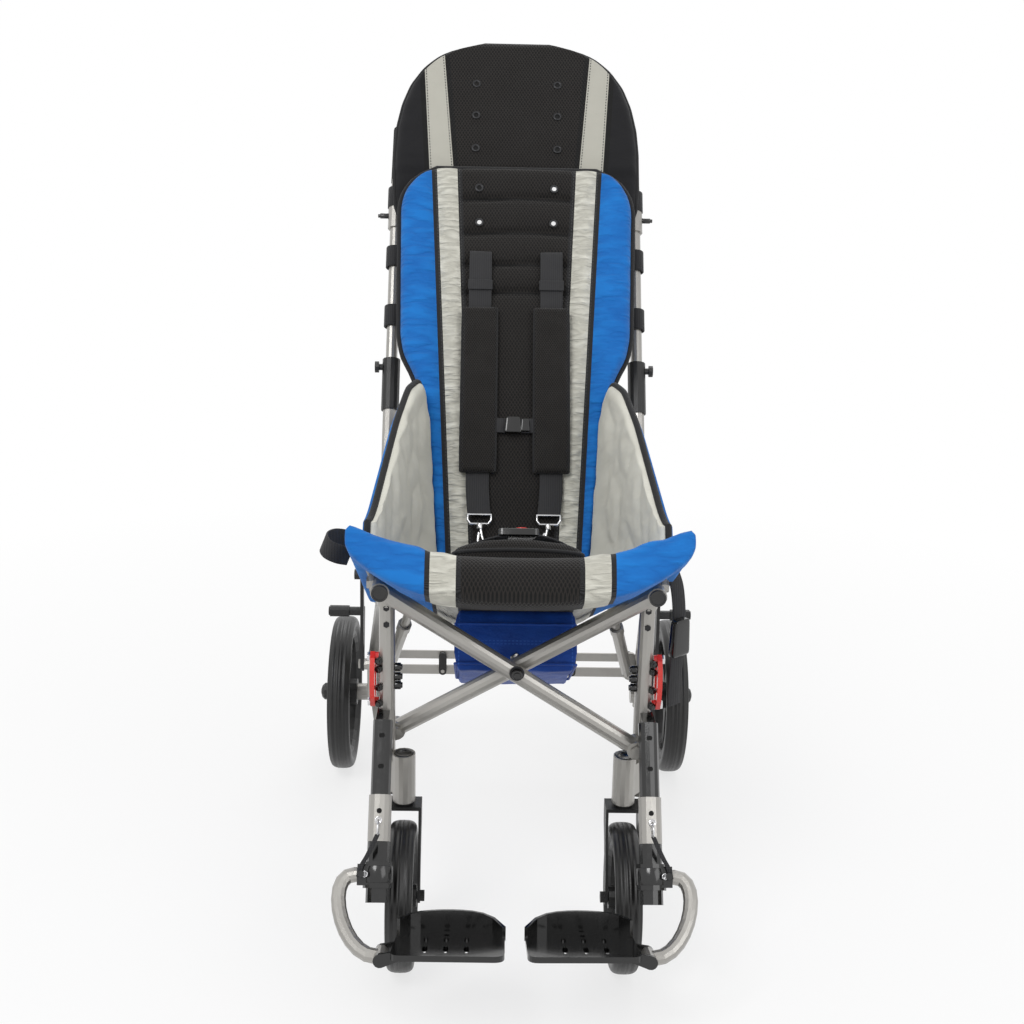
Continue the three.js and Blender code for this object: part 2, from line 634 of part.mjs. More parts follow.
const SLEEVE_TOP = 412;
const sleeveBody = cut(
  join(
    barZ(13.8, 330, SLEEVE_TOP, SEAT_X, CANE_Y, 14),
    barX(5, SEAT_X + 10, SEAT_X + 20, CANE_Y, 400, 12),
    barX(9, SEAT_X + 19, SEAT_X + 25, CANE_Y, 400, 10),
  ),
  boreZ(SEAT_TUBE_RADIUS + GAP, 329, LOWER_TUBE_TOP + GAP, SEAT_X, CANE_Y),
  boreZ(CANE_RADIUS + RUNNING, 340, SLEEVE_TOP + 1, SEAT_X, CANE_Y),
);
pair('back_sleeve', sleeveBody, blackMatte, seatParents);

// Back canes with the head branch and the push handle
const HANDLE = [[SEAT_X, CANE_Y + 3, 640], [SEAT_X, 345, 672], [SEAT_X - 1, 384, 730], [SEAT_X - 2, 392, 838]];
const cane = join(
  barZ(CANE_RADIUS, CANE_BOTTOM, 660, SEAT_X, CANE_Y, 14),
  tube([[SEAT_X, CANE_Y, 655], [SEAT_X, CANE_Y, 720], [152, CANE_Y, 800], [105, CANE_Y, 925]], CANE_RADIUS, 60),
  tube(HANDLE, CANE_RADIUS, 30),
  barZ(12.5, 632, 668, SEAT_X, CANE_Y, 12),
);
pair('back_cane', cane, silver, seatParents);

const gripLine = (t) => [lerp(HANDLE[2][0], HANDLE[3][0], t), lerp(HANDLE[2][1], HANDLE[3][1], t),
  lerp(HANDLE[2][2], HANDLE[3][2], t)];
const gripTube = (from, to, radius) =>
  sweep([gripLine(from), gripLine(to)].map((spot) => new THREE.Vector3(...spot)), ringPoints(radius, 14));
const gripBody = gripTube(0.13, 1.06, 15.5);
const gripBore = gripTube(0.05, 1.004, boreSize(CANE_RADIUS + GAP, 14));
pair('push_grip', cut(gripBody, gripBore), foam, seatParents);

// Tilt struts between the carriers and the seat frames
const stubWorld = new THREE.Vector3(0, STUB[0], STUB[1])
  .applyAxisAngle(new THREE.Vector3(1, 0, 0), -SEAT_TILT)
  .add(new THREE.Vector3(144, POST_Y, PIVOT_Z));
const strutFoot = new THREE.Vector3(...STRUT_FOOT);
const strutAt = (distance) => {
  const along = stubWorld.clone().sub(strutFoot).normalize();
  return strutFoot.clone().addScaledVector(along, distance);
};
const strutLength = stubWorld.distanceTo(strutFoot);
const strutTube = (from, to, radius, sides = 12) => sweep([strutAt(from), strutAt(to)], ringPoints(radius, sides));
const STRUT_BODY = 172;
const STRUT_ROD_RADIUS = 7;
const strutBody = cut(
  join(strutTube(0, STRUT_BODY, 9.5), strutTube(STRUT_BODY - 14, STRUT_BODY + 4, 11),
    barX(9.5, STRUT_FOOT[0] - 7, STRUT_FOOT[0] + 9.5, STRUT_FOOT[1], STRUT_FOOT[2])),
  strutTube(38, STRUT_BODY + 6, boreSize(STRUT_ROD_RADIUS + RUNNING, 12)),
);
pair('strut_body', strutBody, silver);
const strutRod = join(
  strutTube(58, strutLength - 3, STRUT_ROD_RADIUS),
  barX(8, 137, STUB_END - 1, stubWorld.y, stubWorld.z),
);
pair('strut_rod', strutRod, silver);

// Leg rests, in the frame of the sloping leg tube
const legGroups = [
  group('leg_rest_left', [-LEG_TOP[0], LEG_TOP[1], LEG_TOP[2]], -LEG_SLOPE),
  group('leg_rest_right', LEG_TOP, -LEG_SLOPE),
];
const inLeg = (geometry) => geometry.rotateX(-LEG_SLOPE).translate(...LEG_TOP);
const receiverTube = cut(
  barZ(LEG_RADIUS, -SLEEVE_START - 28, 0, 0, 0, LEG_SIDES),
  barY(3, -20, 20, 0, -20, 10),
  barY(3, -20, 20, 0, -20 - PIN_PITCH, 10),
);
const receiverMount = cut(
  block(160, 176, 12, POST_Y, 315, 331),
  boreZ(POST_RADIUS + GAP, 300, 350, POST_X, POST_Y),
);
pair('leg_receiver', join(inLeg(receiverTube), receiverMount), blackGloss);

const legBore = LEG_RADIUS + GAP;
const pinRing = new THREE.TorusGeometry(6.5, 1.3, 8, 12);
const sleeveGeometry = join(
  cut(
    barZ(SLEEVE_RADIUS, -SLEEVE_END, -SLEEVE_START, 0, 0, LEG_SIDES),
    barZ(legBore, -SLEEVE_END - 1, 0, 0, 0, LEG_SIDES),
  ),
  barY(4, -23, -SLEEVE_RADIUS + 0.8, 0, -124, 12),
  pinRing.rotateY(Math.PI / 2).translate(0, -22.5, -130),
);
pair('leg_sleeve', sleeveGeometry, silver, legGroups);

const CLAMP_FROM = 172;
const CLAMP_TO = 203;
const legTube = cut(
  join(
    barZ(LEG_TUBE_RADIUS, -LEG_END, -SLEEVE_END - GAP, 0, 0, LEG_SIDES),
    barZ(18, -CLAMP_TO, -CLAMP_FROM, 0, 0, LEG_SIDES),
    block(6, 24, -14, 0, -CLAMP_TO + 3, -CLAMP_FROM - 3),
    barY(4.5, -22, -10, 19, -CLAMP_FROM - 15, 6),
  ),
  barZ(legBore, -LEG_END + 6, -SLEEVE_END + 2, 0, 0, LEG_SIDES),
);
pair('leg_tube', legTube, blackGloss, legGroups);

// Foot loops: bent tube from the clamp round to the footplate knuckle
const hinge = new THREE.Vector3(...PLATE_HINGE);
const alongHinge = (distance) => {
  const forward = new THREE.Vector3(0, -Math.cos(TOE_UP), Math.sin(TOE_UP));
  return hinge.clone().addScaledVector(forward, distance);
};
const KNUCKLE_HALF = 15;
const clampSpot = new THREE.Vector3(24 + GAP, -7, -(CLAMP_FROM + CLAMP_TO) / 2)
  .applyAxisAngle(new THREE.Vector3(1, 0, 0), -LEG_SLOPE)
  .add(new THREE.Vector3(...LEG_TOP));
// It leaves the clamp sideways, swings round in one curve and comes back to the knuckle along X
const loopStart = clampSpot.clone().add(new THREE.Vector3(3, 0, 0));
const loopEnd = new THREE.Vector3(PLATE_HINGE[0] + 5, PLATE_HINGE[1], PLATE_HINGE[2] - 1);
const LOOP_LEAVE = 37;
const LOOP_RETURN = 43;
const loopCurve = new THREE.CubicBezierCurve3(
  loopStart,
  loopStart.clone().add(new THREE.Vector3(LOOP_LEAVE, 0, 0)),
  loopEnd.clone().add(new THREE.Vector3(LOOP_RETURN, 0, 0)),
  loopEnd,
);
const loop = join(
  sweep([clampSpot, ...loopCurve.getPoints(11)], ringPoints(LOOP_RADIUS, 12)),
  sweep([alongHinge(-KNUCKLE_HALF), alongHinge(KNUCKLE_HALF)], ringPoints(8, 12)),
);
const loopCut = cut(loop, sweep([alongHinge(-40), alongHinge(40)], ringPoints(boreSize(4 + RUNNING, 12), 12)));
pair('foot_loop', loopCut, silver);

// Footplates with heel walls, in the frame of their hinge
const plateGroups = [
  group('footplate_unit_left', [-PLATE_HINGE[0], PLATE_HINGE[1], PLATE_HINGE[2]], -TOE_UP),
  group('footplate_unit_right', PLATE_HINGE, -TOE_UP),
];
const rearEdge = PLATE_DEPTH / 2;
const treadOutline = () => {
  const shape = new THREE.Shape();
  shape.moveTo(-PLATE_OUTER - 6, rearEdge);
  shape.quadraticCurveTo(-PLATE_OUTER, rearEdge, -PLATE_OUTER, rearEdge - 8);
  shape.lineTo(-PLATE_OUTER + 4, -rearEdge + 12);
  shape.quadraticCurveTo(-PLATE_OUTER + 4, -rearEdge, -PLATE_OUTER - 8, -rearEdge);
  shape.lineTo(-PLATE_INNER + 14, -rearEdge - 2);
  shape.quadraticCurveTo(-PLATE_INNER + 2, -rearEdge - 2, -PLATE_INNER + 1, -rearEdge + 12);
  shape.lineTo(-PLATE_INNER, rearEdge - 16);
  shape.quadraticCurveTo(-PLATE_INNER, rearEdge, -PLATE_INNER + 16, rearEdge);
  return new THREE.Shape(shape.getPoints(5).reverse());
};
const tread = treadOutline();
for (const x of [-52, -76, -100]) {
  tread.holes.push(ovalHole(x, -22, 3.2, 13));
  tread.holes.push(ovalHole(x, 12, 3.2, 9));
}
tread.holes.push(ovalHole(-76, 30, 3.5, 3.5));
const treadTop = PLATE_UNDERSIDE + PLATE_THICKNESS;
// Heel wall: an arc along the rear edge that turns forward at both ends, with a hump in its top
const wallLine = (t) => {
  const x = lerp(-PLATE_OUTER - 2, -PLATE_INNER + 1, t);
  const turn = Math.pow(Math.abs(2 * t - 1), 5);
  return [x, rearEdge - 3.5 - 22 * turn];
};
const wallTop = (t) => treadTop + 27 * (0.74 + 0.26 * Math.sin(Math.PI * (0.12 + 0.76 * t))) - 9 * Math.pow(t, 8);
const heelWall = pad(steps(0, 1, 10), [0, 1], (t, v, side) => {
  const [x, y] = wallLine(t);
  const before = wallLine(Math.max(0, t - 0.01));
  const after = wallLine(Math.min(1, t + 0.01));
  const normal = new THREE.Vector2(after[1] - before[1], before[0] - after[0]).normalize();
  const offset = side === 0 ? -2.2 : 2.2;
  return [x + normal.x * offset, y + normal.y * offset, lerp(treadTop - 3, wallTop(t), v)];
});
const earShape = (sign) => {
  const ear = strapShape(0, 0, 8, -34, PLATE_UNDERSIDE + 1, 4);
  const from = KNUCKLE_HALF + GAP;
  return plateY(ear, Math.min(sign * from, sign * (from + 5)), Math.max(sign * from, sign * (from + 5)));
};
const footplate = join(
  plateZ(tread, PLATE_UNDERSIDE, treadTop),
  heelWall,
  earShape(1),
  earShape(-1),
  barY(4, -KNUCKLE_HALF - 3, KNUCKLE_HALF + 3, 0, 0, 14),
  block(-110, -34, -26, -16, PLATE_UNDERSIDE - 4, PLATE_UNDERSIDE + 1),
);
pair('footplate', footplate, blackGloss, plateGroups);

// Folding stretcher between the rear uprights
const stretchBar = (z, height, layer, pinForLink) => {
  const y = STRETCH_Y + layer * (BAR_THICKNESS + GAP);
  const outline = strapShape(STRETCH_X, z, height / 2, 0, z, height / 2);
  const bar = cut(plateY(outline, y, y + BAR_THICKNESS), boreY(3.5 + RUNNING, y - 9, y + 9, STRETCH_X, z, 10));
  if (!pinForLink) return bar;
  return join(bar, barY(3.2, STRETCH_Y - 4.4, y + 1, STRETCH_LINK_X, z));
};
const linkPlate = cut(
  plateY(strapShape(STRETCH_LINK_X, STRETCH_LOWER_Z, 6.5, STRETCH_LINK_X, STRETCH_UPPER_Z, 6.5),
    STRETCH_Y - 4.2, STRETCH_Y - 0.5),
  boreY(3.2 + RUNNING, STRETCH_Y - 9, STRETCH_Y + 9, STRETCH_LINK_X, STRETCH_LOWER_Z, 10),
);
[['right', 0], ['left', 1]].forEach(([side, layer]) => {
  const turned = (geometry) => (side === 'left' ? mirror(geometry) : geometry);
  part(`stretcher_upper_${side}`, turned(stretchBar(STRETCH_UPPER_Z, 14, layer, false)), silver());
  part(`stretcher_lower_${side}`, turned(stretchBar(STRETCH_LOWER_Z, 16, layer, true)), silver());
  part(`stretcher_link_${side}`, turned(linkPlate.clone()), blackMatte());
});

// Soft goods, in the frame of the seat
const SEAT_HALF = 209;
const CUSHION_FRONT = -108;
const CUSHION_REAR = 250;
const ROLL_REAR = -44;
const SLING_BOTTOM = -16;
const edge = (distance, radius) => {
  const t = Math.min(1, Math.max(0, distance / radius));
  return Math.sqrt(1 - (1 - t) * (1 - t));
};
const cushionTop = (x, y) => {
  const side = Math.pow(Math.abs(x) / 205, 3);
  const roll = 8 * Math.exp(-Math.pow((y + 70) / 45, 2));
  return 6 + 36 * side + roll * (1 - side);
};
const cushionBottom = (x, y) => {
  const front = -42 + 44 * Math.pow(Math.abs(x) / 208, 4.2);
  const rear = SLING_BOTTOM + 34 * smooth((Math.abs(x) - 66) / 90);
  return lerp(front, Math.max(front, rear), smooth((y - ROLL_REAR + 6) / 6));
};
const cushionRows = [-108, -103, -94, -80, -62, -50, -44, 20, 130, 238, 250];
const halfColumns = [40, 90, 130, 156, 178, 194, 205, 209];
const cushionColumns = [...halfColumns.map((x) => -x).reverse(), 0, ...halfColumns];
const cushionBlank = pad(cushionColumns, cushionRows, (x, y, side) => {
  const rim = Math.min(
    edge(SEAT_HALF - Math.abs(x), 12), edge(y - CUSHION_FRONT, 22), edge(CUSHION_REAR - y, 10),
  );
  const top = cushionTop(x, y);
  const bottom = cushionBottom(x, y);
  const middle = (top + bottom) / 2;
  const half = Math.max(0.5, ((top - bottom) / 2) * rim);
  return [x, y, side === 0 ? middle - half : middle + half];
});
const railTunnel = (sign) => tube([
  [sign * (SEAT_X + 4.2), SEAT_FRONT_Y - 2, RAIL_RISE + 2.2], [sign * SEAT_X, -50, RAIL_RISE],
  [sign * SEAT_X, 280, RAIL_RISE],
], boreSize(SEAT_TUBE_RADIUS + GAP, 12), 10);
const lugSlot = () => block(LUG_X - 4, LUG_X + 12, -19, 19, -60, RAIL_RISE + 4);
const cushionTools = [railTunnel(1), railTunnel(-1), lugSlot(), mirror(lugSlot())];
part('seat_cushion', cut(cushionBlank, ...cushionTools), blueFabric(), seatGroup);

// Back pad with sewn channels across its mesh centre
const PAD_FRONT = 262;
const PAD_BACK = 294;
const padHalf = (z) => curve([
  [14, 96], [22, 108], [40, 113], [110, 117], [300, 136], [366, 152], [400, 170], [430, 176], [644, 181], [668, 176],
  [690, 162], [704, 144], [711, 120],
], z);
const CHANNELS = [656, 599, 546, 500];
const padRows = [14, 22, 40, 110, 300, 366, 400, 430, 493, 500, 507, 539, 546, 553, 592, 599, 606, 649, 656, 663,
  690, 704, 711];
const padColumns = [-1, -0.96, -0.7, -0.42, -0.34, 0, 0.34, 0.42, 0.7, 0.96, 1];
const backPad = pad(padColumns, padRows, (u, z, side) => {
  const rim = Math.min(edge(1 - Math.abs(u), 0.1), edge(z - 12, 12), edge(713 - z, 14));
  const groove = CHANNELS.some((at) => Math.abs(at - z) < 1) && Math.abs(u) < 0.38 ? 5 : 0;
  const crown = 5 * Math.cos(Math.min(1, Math.abs(u)) * Math.PI * 3) - (Math.abs(u) > 0.5 ? 3 : 0);
  const front = PAD_FRONT - 4 + groove * 1.2 - crown * 0.6;
  const middle = (front + PAD_BACK) / 2;
  const half = Math.max(0.5, ((PAD_BACK - front) / 2) * rim);
  return [-u * padHalf(z), side === 0 ? middle - half : middle + half, z];
});
part('back_pad', mirror(backPad), blackMesh(), seatGroup);

// Head pad behind the top of the back pad
const HEAD_FRONT = 294.6;
const HEAD_BACK = 312.7;
const headHalf = (z) => curve([
  [640, 182], [660, 190], [700, 193], [800, 190], [840, 183], [880, 165], [910, 148], [940, 126], [954, 112], [961, 92],
], z);
const headRows = [640, 648, 700, 800, 840, 880, 910, 940, 954, 961];
const headPad = pad([-1, -0.96, -0.6, 0, 0.6, 0.96, 1], headRows, (u, z, side) => {
  const rim = Math.min(edge(1 - Math.abs(u), 0.08), edge(z - 638, 9), edge(963 - z, 12));
  const middle = (HEAD_FRONT + HEAD_BACK) / 2;
  const half = Math.max(0.5, ((HEAD_BACK - HEAD_FRONT) / 2) * rim);
  return [-u * headHalf(z), side === 0 ? middle - half : middle + half, z];
});
part('head_pad', mirror(headPad), blackMesh(), seatGroup);

// Hip guides: padded wings that flare from the back pad to the front of the rails
const wingTop = (t) => curve([[0, 322], [0.06, 334], [0.14, 336], [0.3, 312], [0.5, 250], [0.7, 172], [0.88, 104],
  [0.96, 82], [1, 76]], t);
const wingX = (t) => lerp(128, 192, Math.pow(t, 0.75));
const wingY = (t) => lerp(232, 14, t);
// The lower edge rests on the crown of the cushion and, at the front, on the rail
const railTop = RAIL_RISE + SEAT_TUBE_RADIUS;
const wingBottom = (t) => {
  const crown = cushionTop(wingX(t) + 3, wingY(t));
  return Math.max(crown, wingX(t) > SEAT_X - 16 ? railTop : 0) + GAP + 0.5;
};
const wing = pad([0, 0.03, 0.1, 0.2, 0.35, 0.5, 0.65, 0.8, 0.9, 0.97, 1], [0, 0.04, 0.15, 0.4, 0.65, 0.87, 0.97, 1],
  (t, v, side) => {
    const rim = Math.min(edge(t, 0.06), edge(1 - t, 0.06), edge(v, 0.07), edge(1 - v, 0.07));
    const half = Math.max(0.5, (7 + 3 * Math.sin(Math.PI * v) * Math.sin(Math.PI * t)) * rim);
    const offset = side === 0 ? half : -half;
    return [wingX(t) + offset, wingY(t) + offset * 0.3, lerp(wingBottom(t), wingTop(t), v)];
  });
pair('hip_guide', wing, greyFabric, seatParents);

// Harness
const HARNESS_X = 54;
const HARNESS_BACK = 257.9;
const roundedBox = (x0, x1, y0, y1, z0, z1, radius) => {
  const shape = new THREE.Shape();
  shape.moveTo(x0 + radius, y0);
  shape.lineTo(x1 - radius, y0);
  shape.quadraticCurveTo(x1, y0, x1, y0 + radius);
  shape.lineTo(x1, y1 - radius);
  shape.quadraticCurveTo(x1, y1, x1 - radius, y1);
  shape.lineTo(x0 + radius, y1);
  shape.quadraticCurveTo(x0, y1, x0, y1 - radius);
  shape.lineTo(x0, y0 + radius);
  shape.quadraticCurveTo(x0, y0, x0 + radius, y0);
  return plateZ(shape, z0, z1);
};
const strap = join(
  roundedBox(HARNESS_X - 24, HARNESS_X + 24, HARNESS_BACK - 16, HARNESS_BACK, 213, 470, 7),
  roundedBox(HARNESS_X - 14, HARNESS_X + 14, HARNESS_BACK - 3.5, HARNESS_BACK, 150, 563, 1.5),
);
pair('shoulder_strap', strap, webbing, seatParents);
const chestHalf = HARNESS_X - 24 - GAP;
part('chest_strap', roundedBox(-chestHalf, chestHalf, HARNESS_BACK - 11, HARNESS_BACK - 5, 272, 298, 1.5), webbing(), seatGroup);

const POMMEL_DEPTH = 30;
const POMMEL_SEAT = 18.8;
const pommelOutline = new THREE.Shape();
pommelOutline.absellipse(0, 4, 82, 32, 0, 2 * Math.PI, false);
const pommel = new THREE.ExtrudeGeometry(pommelOutline, {
  depth: POMMEL_DEPTH, bevelEnabled: true, bevelThickness: 8, bevelSize: 8, bevelOffset: -8, bevelSegments: 2, curveSegments: 9,
});
part('pommel_pad', pommel.translate(0, 0, POMMEL_SEAT), blackMesh(), seatGroup);

const BAG_TOP = SLING_BOTTOM - 0.5;
const BAG_BOTTOM = -97;
const BAG_FRONT = 88;
const BAG_REAR = 251;
const bagBody = pad([-80, -77, -60, 0, 60, 77, 80], [BAG_FRONT, BAG_FRONT + 3, 120, 200, 240, 248, BAG_REAR], (x, y, side) => {
  const rim = Math.min(edge(81 - Math.abs(x), 8), edge(y - BAG_FRONT + 1, 8), edge(BAG_REAR + 1 - y, 10));
  const middle = (BAG_TOP + BAG_BOTTOM) / 2;
  const half = Math.max(4, ((BAG_TOP - BAG_BOTTOM) / 2) * rim);
  return [x, y, side === 0 ? middle - half : middle + half];
});
part('under_seat_bag', bagBody, darkBlue(), seatGroup);

// The finished chair stands with the middle of its footprint at the origin
chair.updateMatrixWorld(true);
const box = new THREE.Box3().setFromObject(chair, true);
chair.position.y = -(box.min.y + box.max.y) / 2;

export default chair;
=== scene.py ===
# %% [markdown]
# # A tilt in space wheelchair
# The metal, the wheels and the plastic parts come ready made as a fixed frame, in metres. This lesson
# dresses that frame: it gives each part its finish, and it makes the padded covers, the harness, the bag
# and the small fasteners that the photograph shows.

# %% Load the frame
import json
import math

import bpy
from mathutils import Matrix, Vector, noise


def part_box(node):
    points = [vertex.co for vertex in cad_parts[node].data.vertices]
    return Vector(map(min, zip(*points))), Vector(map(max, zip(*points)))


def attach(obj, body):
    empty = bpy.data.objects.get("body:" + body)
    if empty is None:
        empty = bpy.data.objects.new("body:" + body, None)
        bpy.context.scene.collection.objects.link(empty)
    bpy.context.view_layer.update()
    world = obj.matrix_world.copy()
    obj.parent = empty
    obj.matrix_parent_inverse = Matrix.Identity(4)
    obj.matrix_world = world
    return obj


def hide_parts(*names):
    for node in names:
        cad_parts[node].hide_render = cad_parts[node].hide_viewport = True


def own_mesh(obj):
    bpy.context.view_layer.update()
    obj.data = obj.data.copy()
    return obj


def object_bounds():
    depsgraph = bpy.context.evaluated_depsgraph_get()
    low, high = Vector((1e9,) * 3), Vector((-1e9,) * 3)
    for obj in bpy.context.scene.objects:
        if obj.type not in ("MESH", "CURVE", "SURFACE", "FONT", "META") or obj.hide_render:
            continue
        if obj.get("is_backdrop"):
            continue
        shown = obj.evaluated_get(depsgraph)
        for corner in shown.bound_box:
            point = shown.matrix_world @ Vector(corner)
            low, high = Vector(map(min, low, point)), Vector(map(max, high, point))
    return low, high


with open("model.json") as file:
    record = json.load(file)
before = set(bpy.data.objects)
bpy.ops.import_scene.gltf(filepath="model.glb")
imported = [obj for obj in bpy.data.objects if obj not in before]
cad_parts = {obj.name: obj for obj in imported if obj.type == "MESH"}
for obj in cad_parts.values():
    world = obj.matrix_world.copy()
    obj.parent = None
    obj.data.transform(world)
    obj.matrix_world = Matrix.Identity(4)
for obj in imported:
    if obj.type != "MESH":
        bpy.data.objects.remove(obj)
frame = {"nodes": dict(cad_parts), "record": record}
cad_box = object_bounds()

# %% [markdown]
# ## The seat's own axes
# The seat and the back were sewn and screwed together flat, and then tilted as one unit. So the soft
# pieces are easiest to measure in the seat's own axes, in millimetres: x to the right, y from the knees to
# the back, z from the seat up along the back. The tilt hinge is the origin of these axes.

# %% Seat axes
MM = 0.001
TAU = 2 * math.pi
SIDES = (("left", -1), ("right", 1))
SEAT_TILT = math.radians(30)
hinge = next(j for j in frame["record"]["behaviour"]["joints"] if j["name"] == "tilt")
HINGE = Vector((0, hinge["pos_m"][1], hinge["pos_m"][2]))
FOLD = next(j for j in frame["record"]["behaviour"]["joints"] if j["name"] == "fold")
FOLD_TRAVEL = FOLD["range_m"][1]
RAIL_SPAN = 0.38
along_seat = Vector((0, math.cos(SEAT_TILT), -math.sin(SEAT_TILT)))
up_back = Vector((0, math.sin(SEAT_TILT), math.cos(SEAT_TILT)))


def seat_point(x, y, z):
    return HINGE + (Vector((x, 0, 0)) + y * along_seat + z * up_back) * MM


def in_seat(point):
    step = (point - HINGE) / MM
    return step.x, step.dot(along_seat), step.dot(up_back)


print("hinge of the seat", tuple(round(c, 4) for c in HINGE))

# %% [markdown]
# ## Camera first
# The photograph was taken from the front, a little above the seat and slightly turned. The camera is set
# before anything else, so that every later piece can be judged in the same view. A lens of 48 mm on a
# 36 mm sensor gives the perspective of the picture.

# %% Camera
CAMERA_PLACE = Vector((-0.0461, -1.8653, 1.0629))
PITCH, YAW, ROLL = math.radians(16.2), math.radians(1.3), math.radians(-1.2)
FOCAL_SHARE = 1364.3 / 1024

forward = Vector((math.sin(YAW) * math.cos(PITCH), math.cos(YAW) * math.cos(PITCH), -math.sin(PITCH)))
level = Vector((math.cos(YAW), -math.sin(YAW), 0))
down = forward.cross(level)
right = level * math.cos(ROLL) + down * math.sin(ROLL)
down = down * math.cos(ROLL) - level * math.sin(ROLL)

camera_data = bpy.data.cameras.new("camera")
camera_data.sensor_width = 36
camera_data.lens = 36 * FOCAL_SHARE
camera = bpy.data.objects.new("camera", camera_data)
bpy.context.collection.objects.link(camera)
camera.matrix_world = Matrix((
    (right.x, -down.x, -forward.x, CAMERA_PLACE.x),
    (right.y, -down.y, -forward.y, CAMERA_PLACE.y),
    (right.z, -down.z, -forward.z, CAMERA_PLACE.z),
    (0, 0, 0, 1),
))
bpy.context.scene.camera = camera
bpy.context.scene.view_settings.view_transform = "Standard"

# %% [markdown]
# ## Shader maths as plain expressions
# Fabric and paint are described with sums and products of a few patterns. A small class wraps a node's
# output, so that `1 - mask` or `height * 0.3` adds the Math node by itself and the formula stays readable.


# %% Socket arithmetic
def feed(tree, slot, value):
    """Links a reading to the socket, or sets the socket to a plain value."""
    if isinstance(value, Reading):
        tree.links.new(value.socket, slot)
    else:
        slot.default_value = value


def combine(tree, operation, *values, clamp=False):
    node = tree.nodes.new("ShaderNodeMath")
    node.operation = operation
    node.use_clamp = clamp
    for slot, value in zip(node.inputs, values):
        feed(tree, slot, value)
    return Reading(tree, node.outputs[0])


class Reading:
    """A node output that takes part in ordinary arithmetic."""

    def __init__(self, tree, socket):
        self.tree = tree
        self.socket = socket

    def math(self, operation, *others, clamp=False):
        return combine(self.tree, operation, self, *others, clamp=clamp)

    def __add__(self, other):
        return self.math("ADD", other)

    __radd__ = __add__

    def __mul__(self, other):
        return self.math("MULTIPLY", other)

    __rmul__ = __mul__

    def __sub__(self, other):
        return self.math("SUBTRACT", other)

    def __rsub__(self, number):
        return combine(self.tree, "SUBTRACT", number, self)

    def __truediv__(self, other):
        return self.math("DIVIDE", other)

    def __abs__(self):
        return self.math("ABSOLUTE")

    def sine(self):
        return self.math("SINE")

    def over(self, other):
        return self.math("GREATER_THAN", other)

    def under(self, other):
        return self.math("LESS_THAN", other)

    def most(self, other):
        return self.math("MAXIMUM", other)

    def wrap(self, period):
        return self.math("WRAP", period, 0.0)

    def kept(self):
        return self.math("ADD", 0.0, clamp=True)


class Finish:
    """A material with one Principled shader, and short words for the nodes that feed it."""

    def __init__(self, name, colour, roughness, metallic=0.0, coat=0.0, sheen=0.0, specular=0.5):
        self.material = bpy.data.materials.new(name)
        self.material.use_nodes = True
        self.tree = self.material.node_tree
        self.shader = self.tree.nodes["Principled BSDF"]
        self.set("Base Color", (*colour, 1))
        self.set("Roughness", roughness)
        self.set("Metallic", metallic)
        self.set("Coat Weight", coat)
        self.set("Coat Roughness", 0.08)
        self.set("Sheen Weight", sheen)
        self.set("Specular IOR Level", specular)

    def set(self, socket, value):
        feed(self.tree, self.shader.inputs[socket], value)

    def node(self, kind, inputs=None, output=0, **settings):
        made = self.tree.nodes.new(kind)
        for key, value in settings.items():
            setattr(made, key, value)
        for key, value in (inputs or {}).items():
            feed(self.tree, made.inputs[key], value)
        return Reading(self.tree, made.outputs[output])

    def point(self):
        """The point of the surface in the object's own metres."""
        return self.node("ShaderNodeTexCoord", output=3)

    def cloth_point(self):
        """The point of the cloth in the seat's millimetres, read from an attribute on its points."""
        return self.node("ShaderNodeAttribute", output=1, attribute_name="place")

    def split(self, vector):
        made = self.tree.nodes.new("ShaderNodeSeparateXYZ")
        self.tree.links.new(vector.socket, made.inputs[0])
        return [Reading(self.tree, out) for out in made.outputs]

    def noise(self, vector, scale, detail=3.0, rough=0.55):
        return self.node("ShaderNodeTexNoise", {
            "Vector": vector, "Scale": scale, "Detail": detail, "Roughness": rough,
        })

    def stretched(self, vector, x, y, z):
        return self.node("ShaderNodeMapping", {"Vector": vector, "Scale": (x, y, z)})

    def mix(self, first, second, share):
        made = self.tree.nodes.new("ShaderNodeMix")
        made.data_type = "RGBA"
        colours = [slot for slot in made.inputs if slot.type == "RGBA"]
        for slot, value in zip(colours, (first, second)):
            feed(self.tree, slot, value if isinstance(value, Reading) else (*value, 1))
        feed(self.tree, made.inputs[0], share)
        return Reading(self.tree, next(out for out in made.outputs if out.type == "RGBA"))

    def bump(self, height, distance):
        self.set("Normal", self.node("ShaderNodeBump", {
            "Height": height, "Distance": distance, "Strength": 1.0,
        }))


# %% [markdown]
# ## Hard finishes
# The tubes carry a satin silver-grey paint. Paint on tube is never quite even: it has a fine orange peel,
# a little colour drift, and dull marks where hands and straps rub it. The same idea, noise in the colour,
# in the roughness and in a shallow bump, makes moulded plastic, steel and foam, at other scales.


# %% Paint, plastic, foam and metal
DRIFT, WEAR = 0.15, 0.12


def hard(name, colour, roughness, grain, depth, **options):
    made = Finish(name, colour, roughness, **options)
    point = made.point()
    fine = made.noise(point, grain, 4.0)
    broad = made.noise(point, 14.0, 3.0)
    rubbed = (made.noise(point, 45.0, 5.0, 0.7) - 0.52) * 5.0
    darker = tuple(c * (1 - DRIFT) for c in colour)
    lighter = tuple(min(1.0, c * (1 + DRIFT)) for c in colour)
    made.set("Base Color", made.mix(darker, lighter, broad))
    made.set("Roughness", (broad * 0.1 + rubbed.kept() * WEAR + (roughness - 0.05)).kept())
    made.bump(fine, depth)
    return made.material


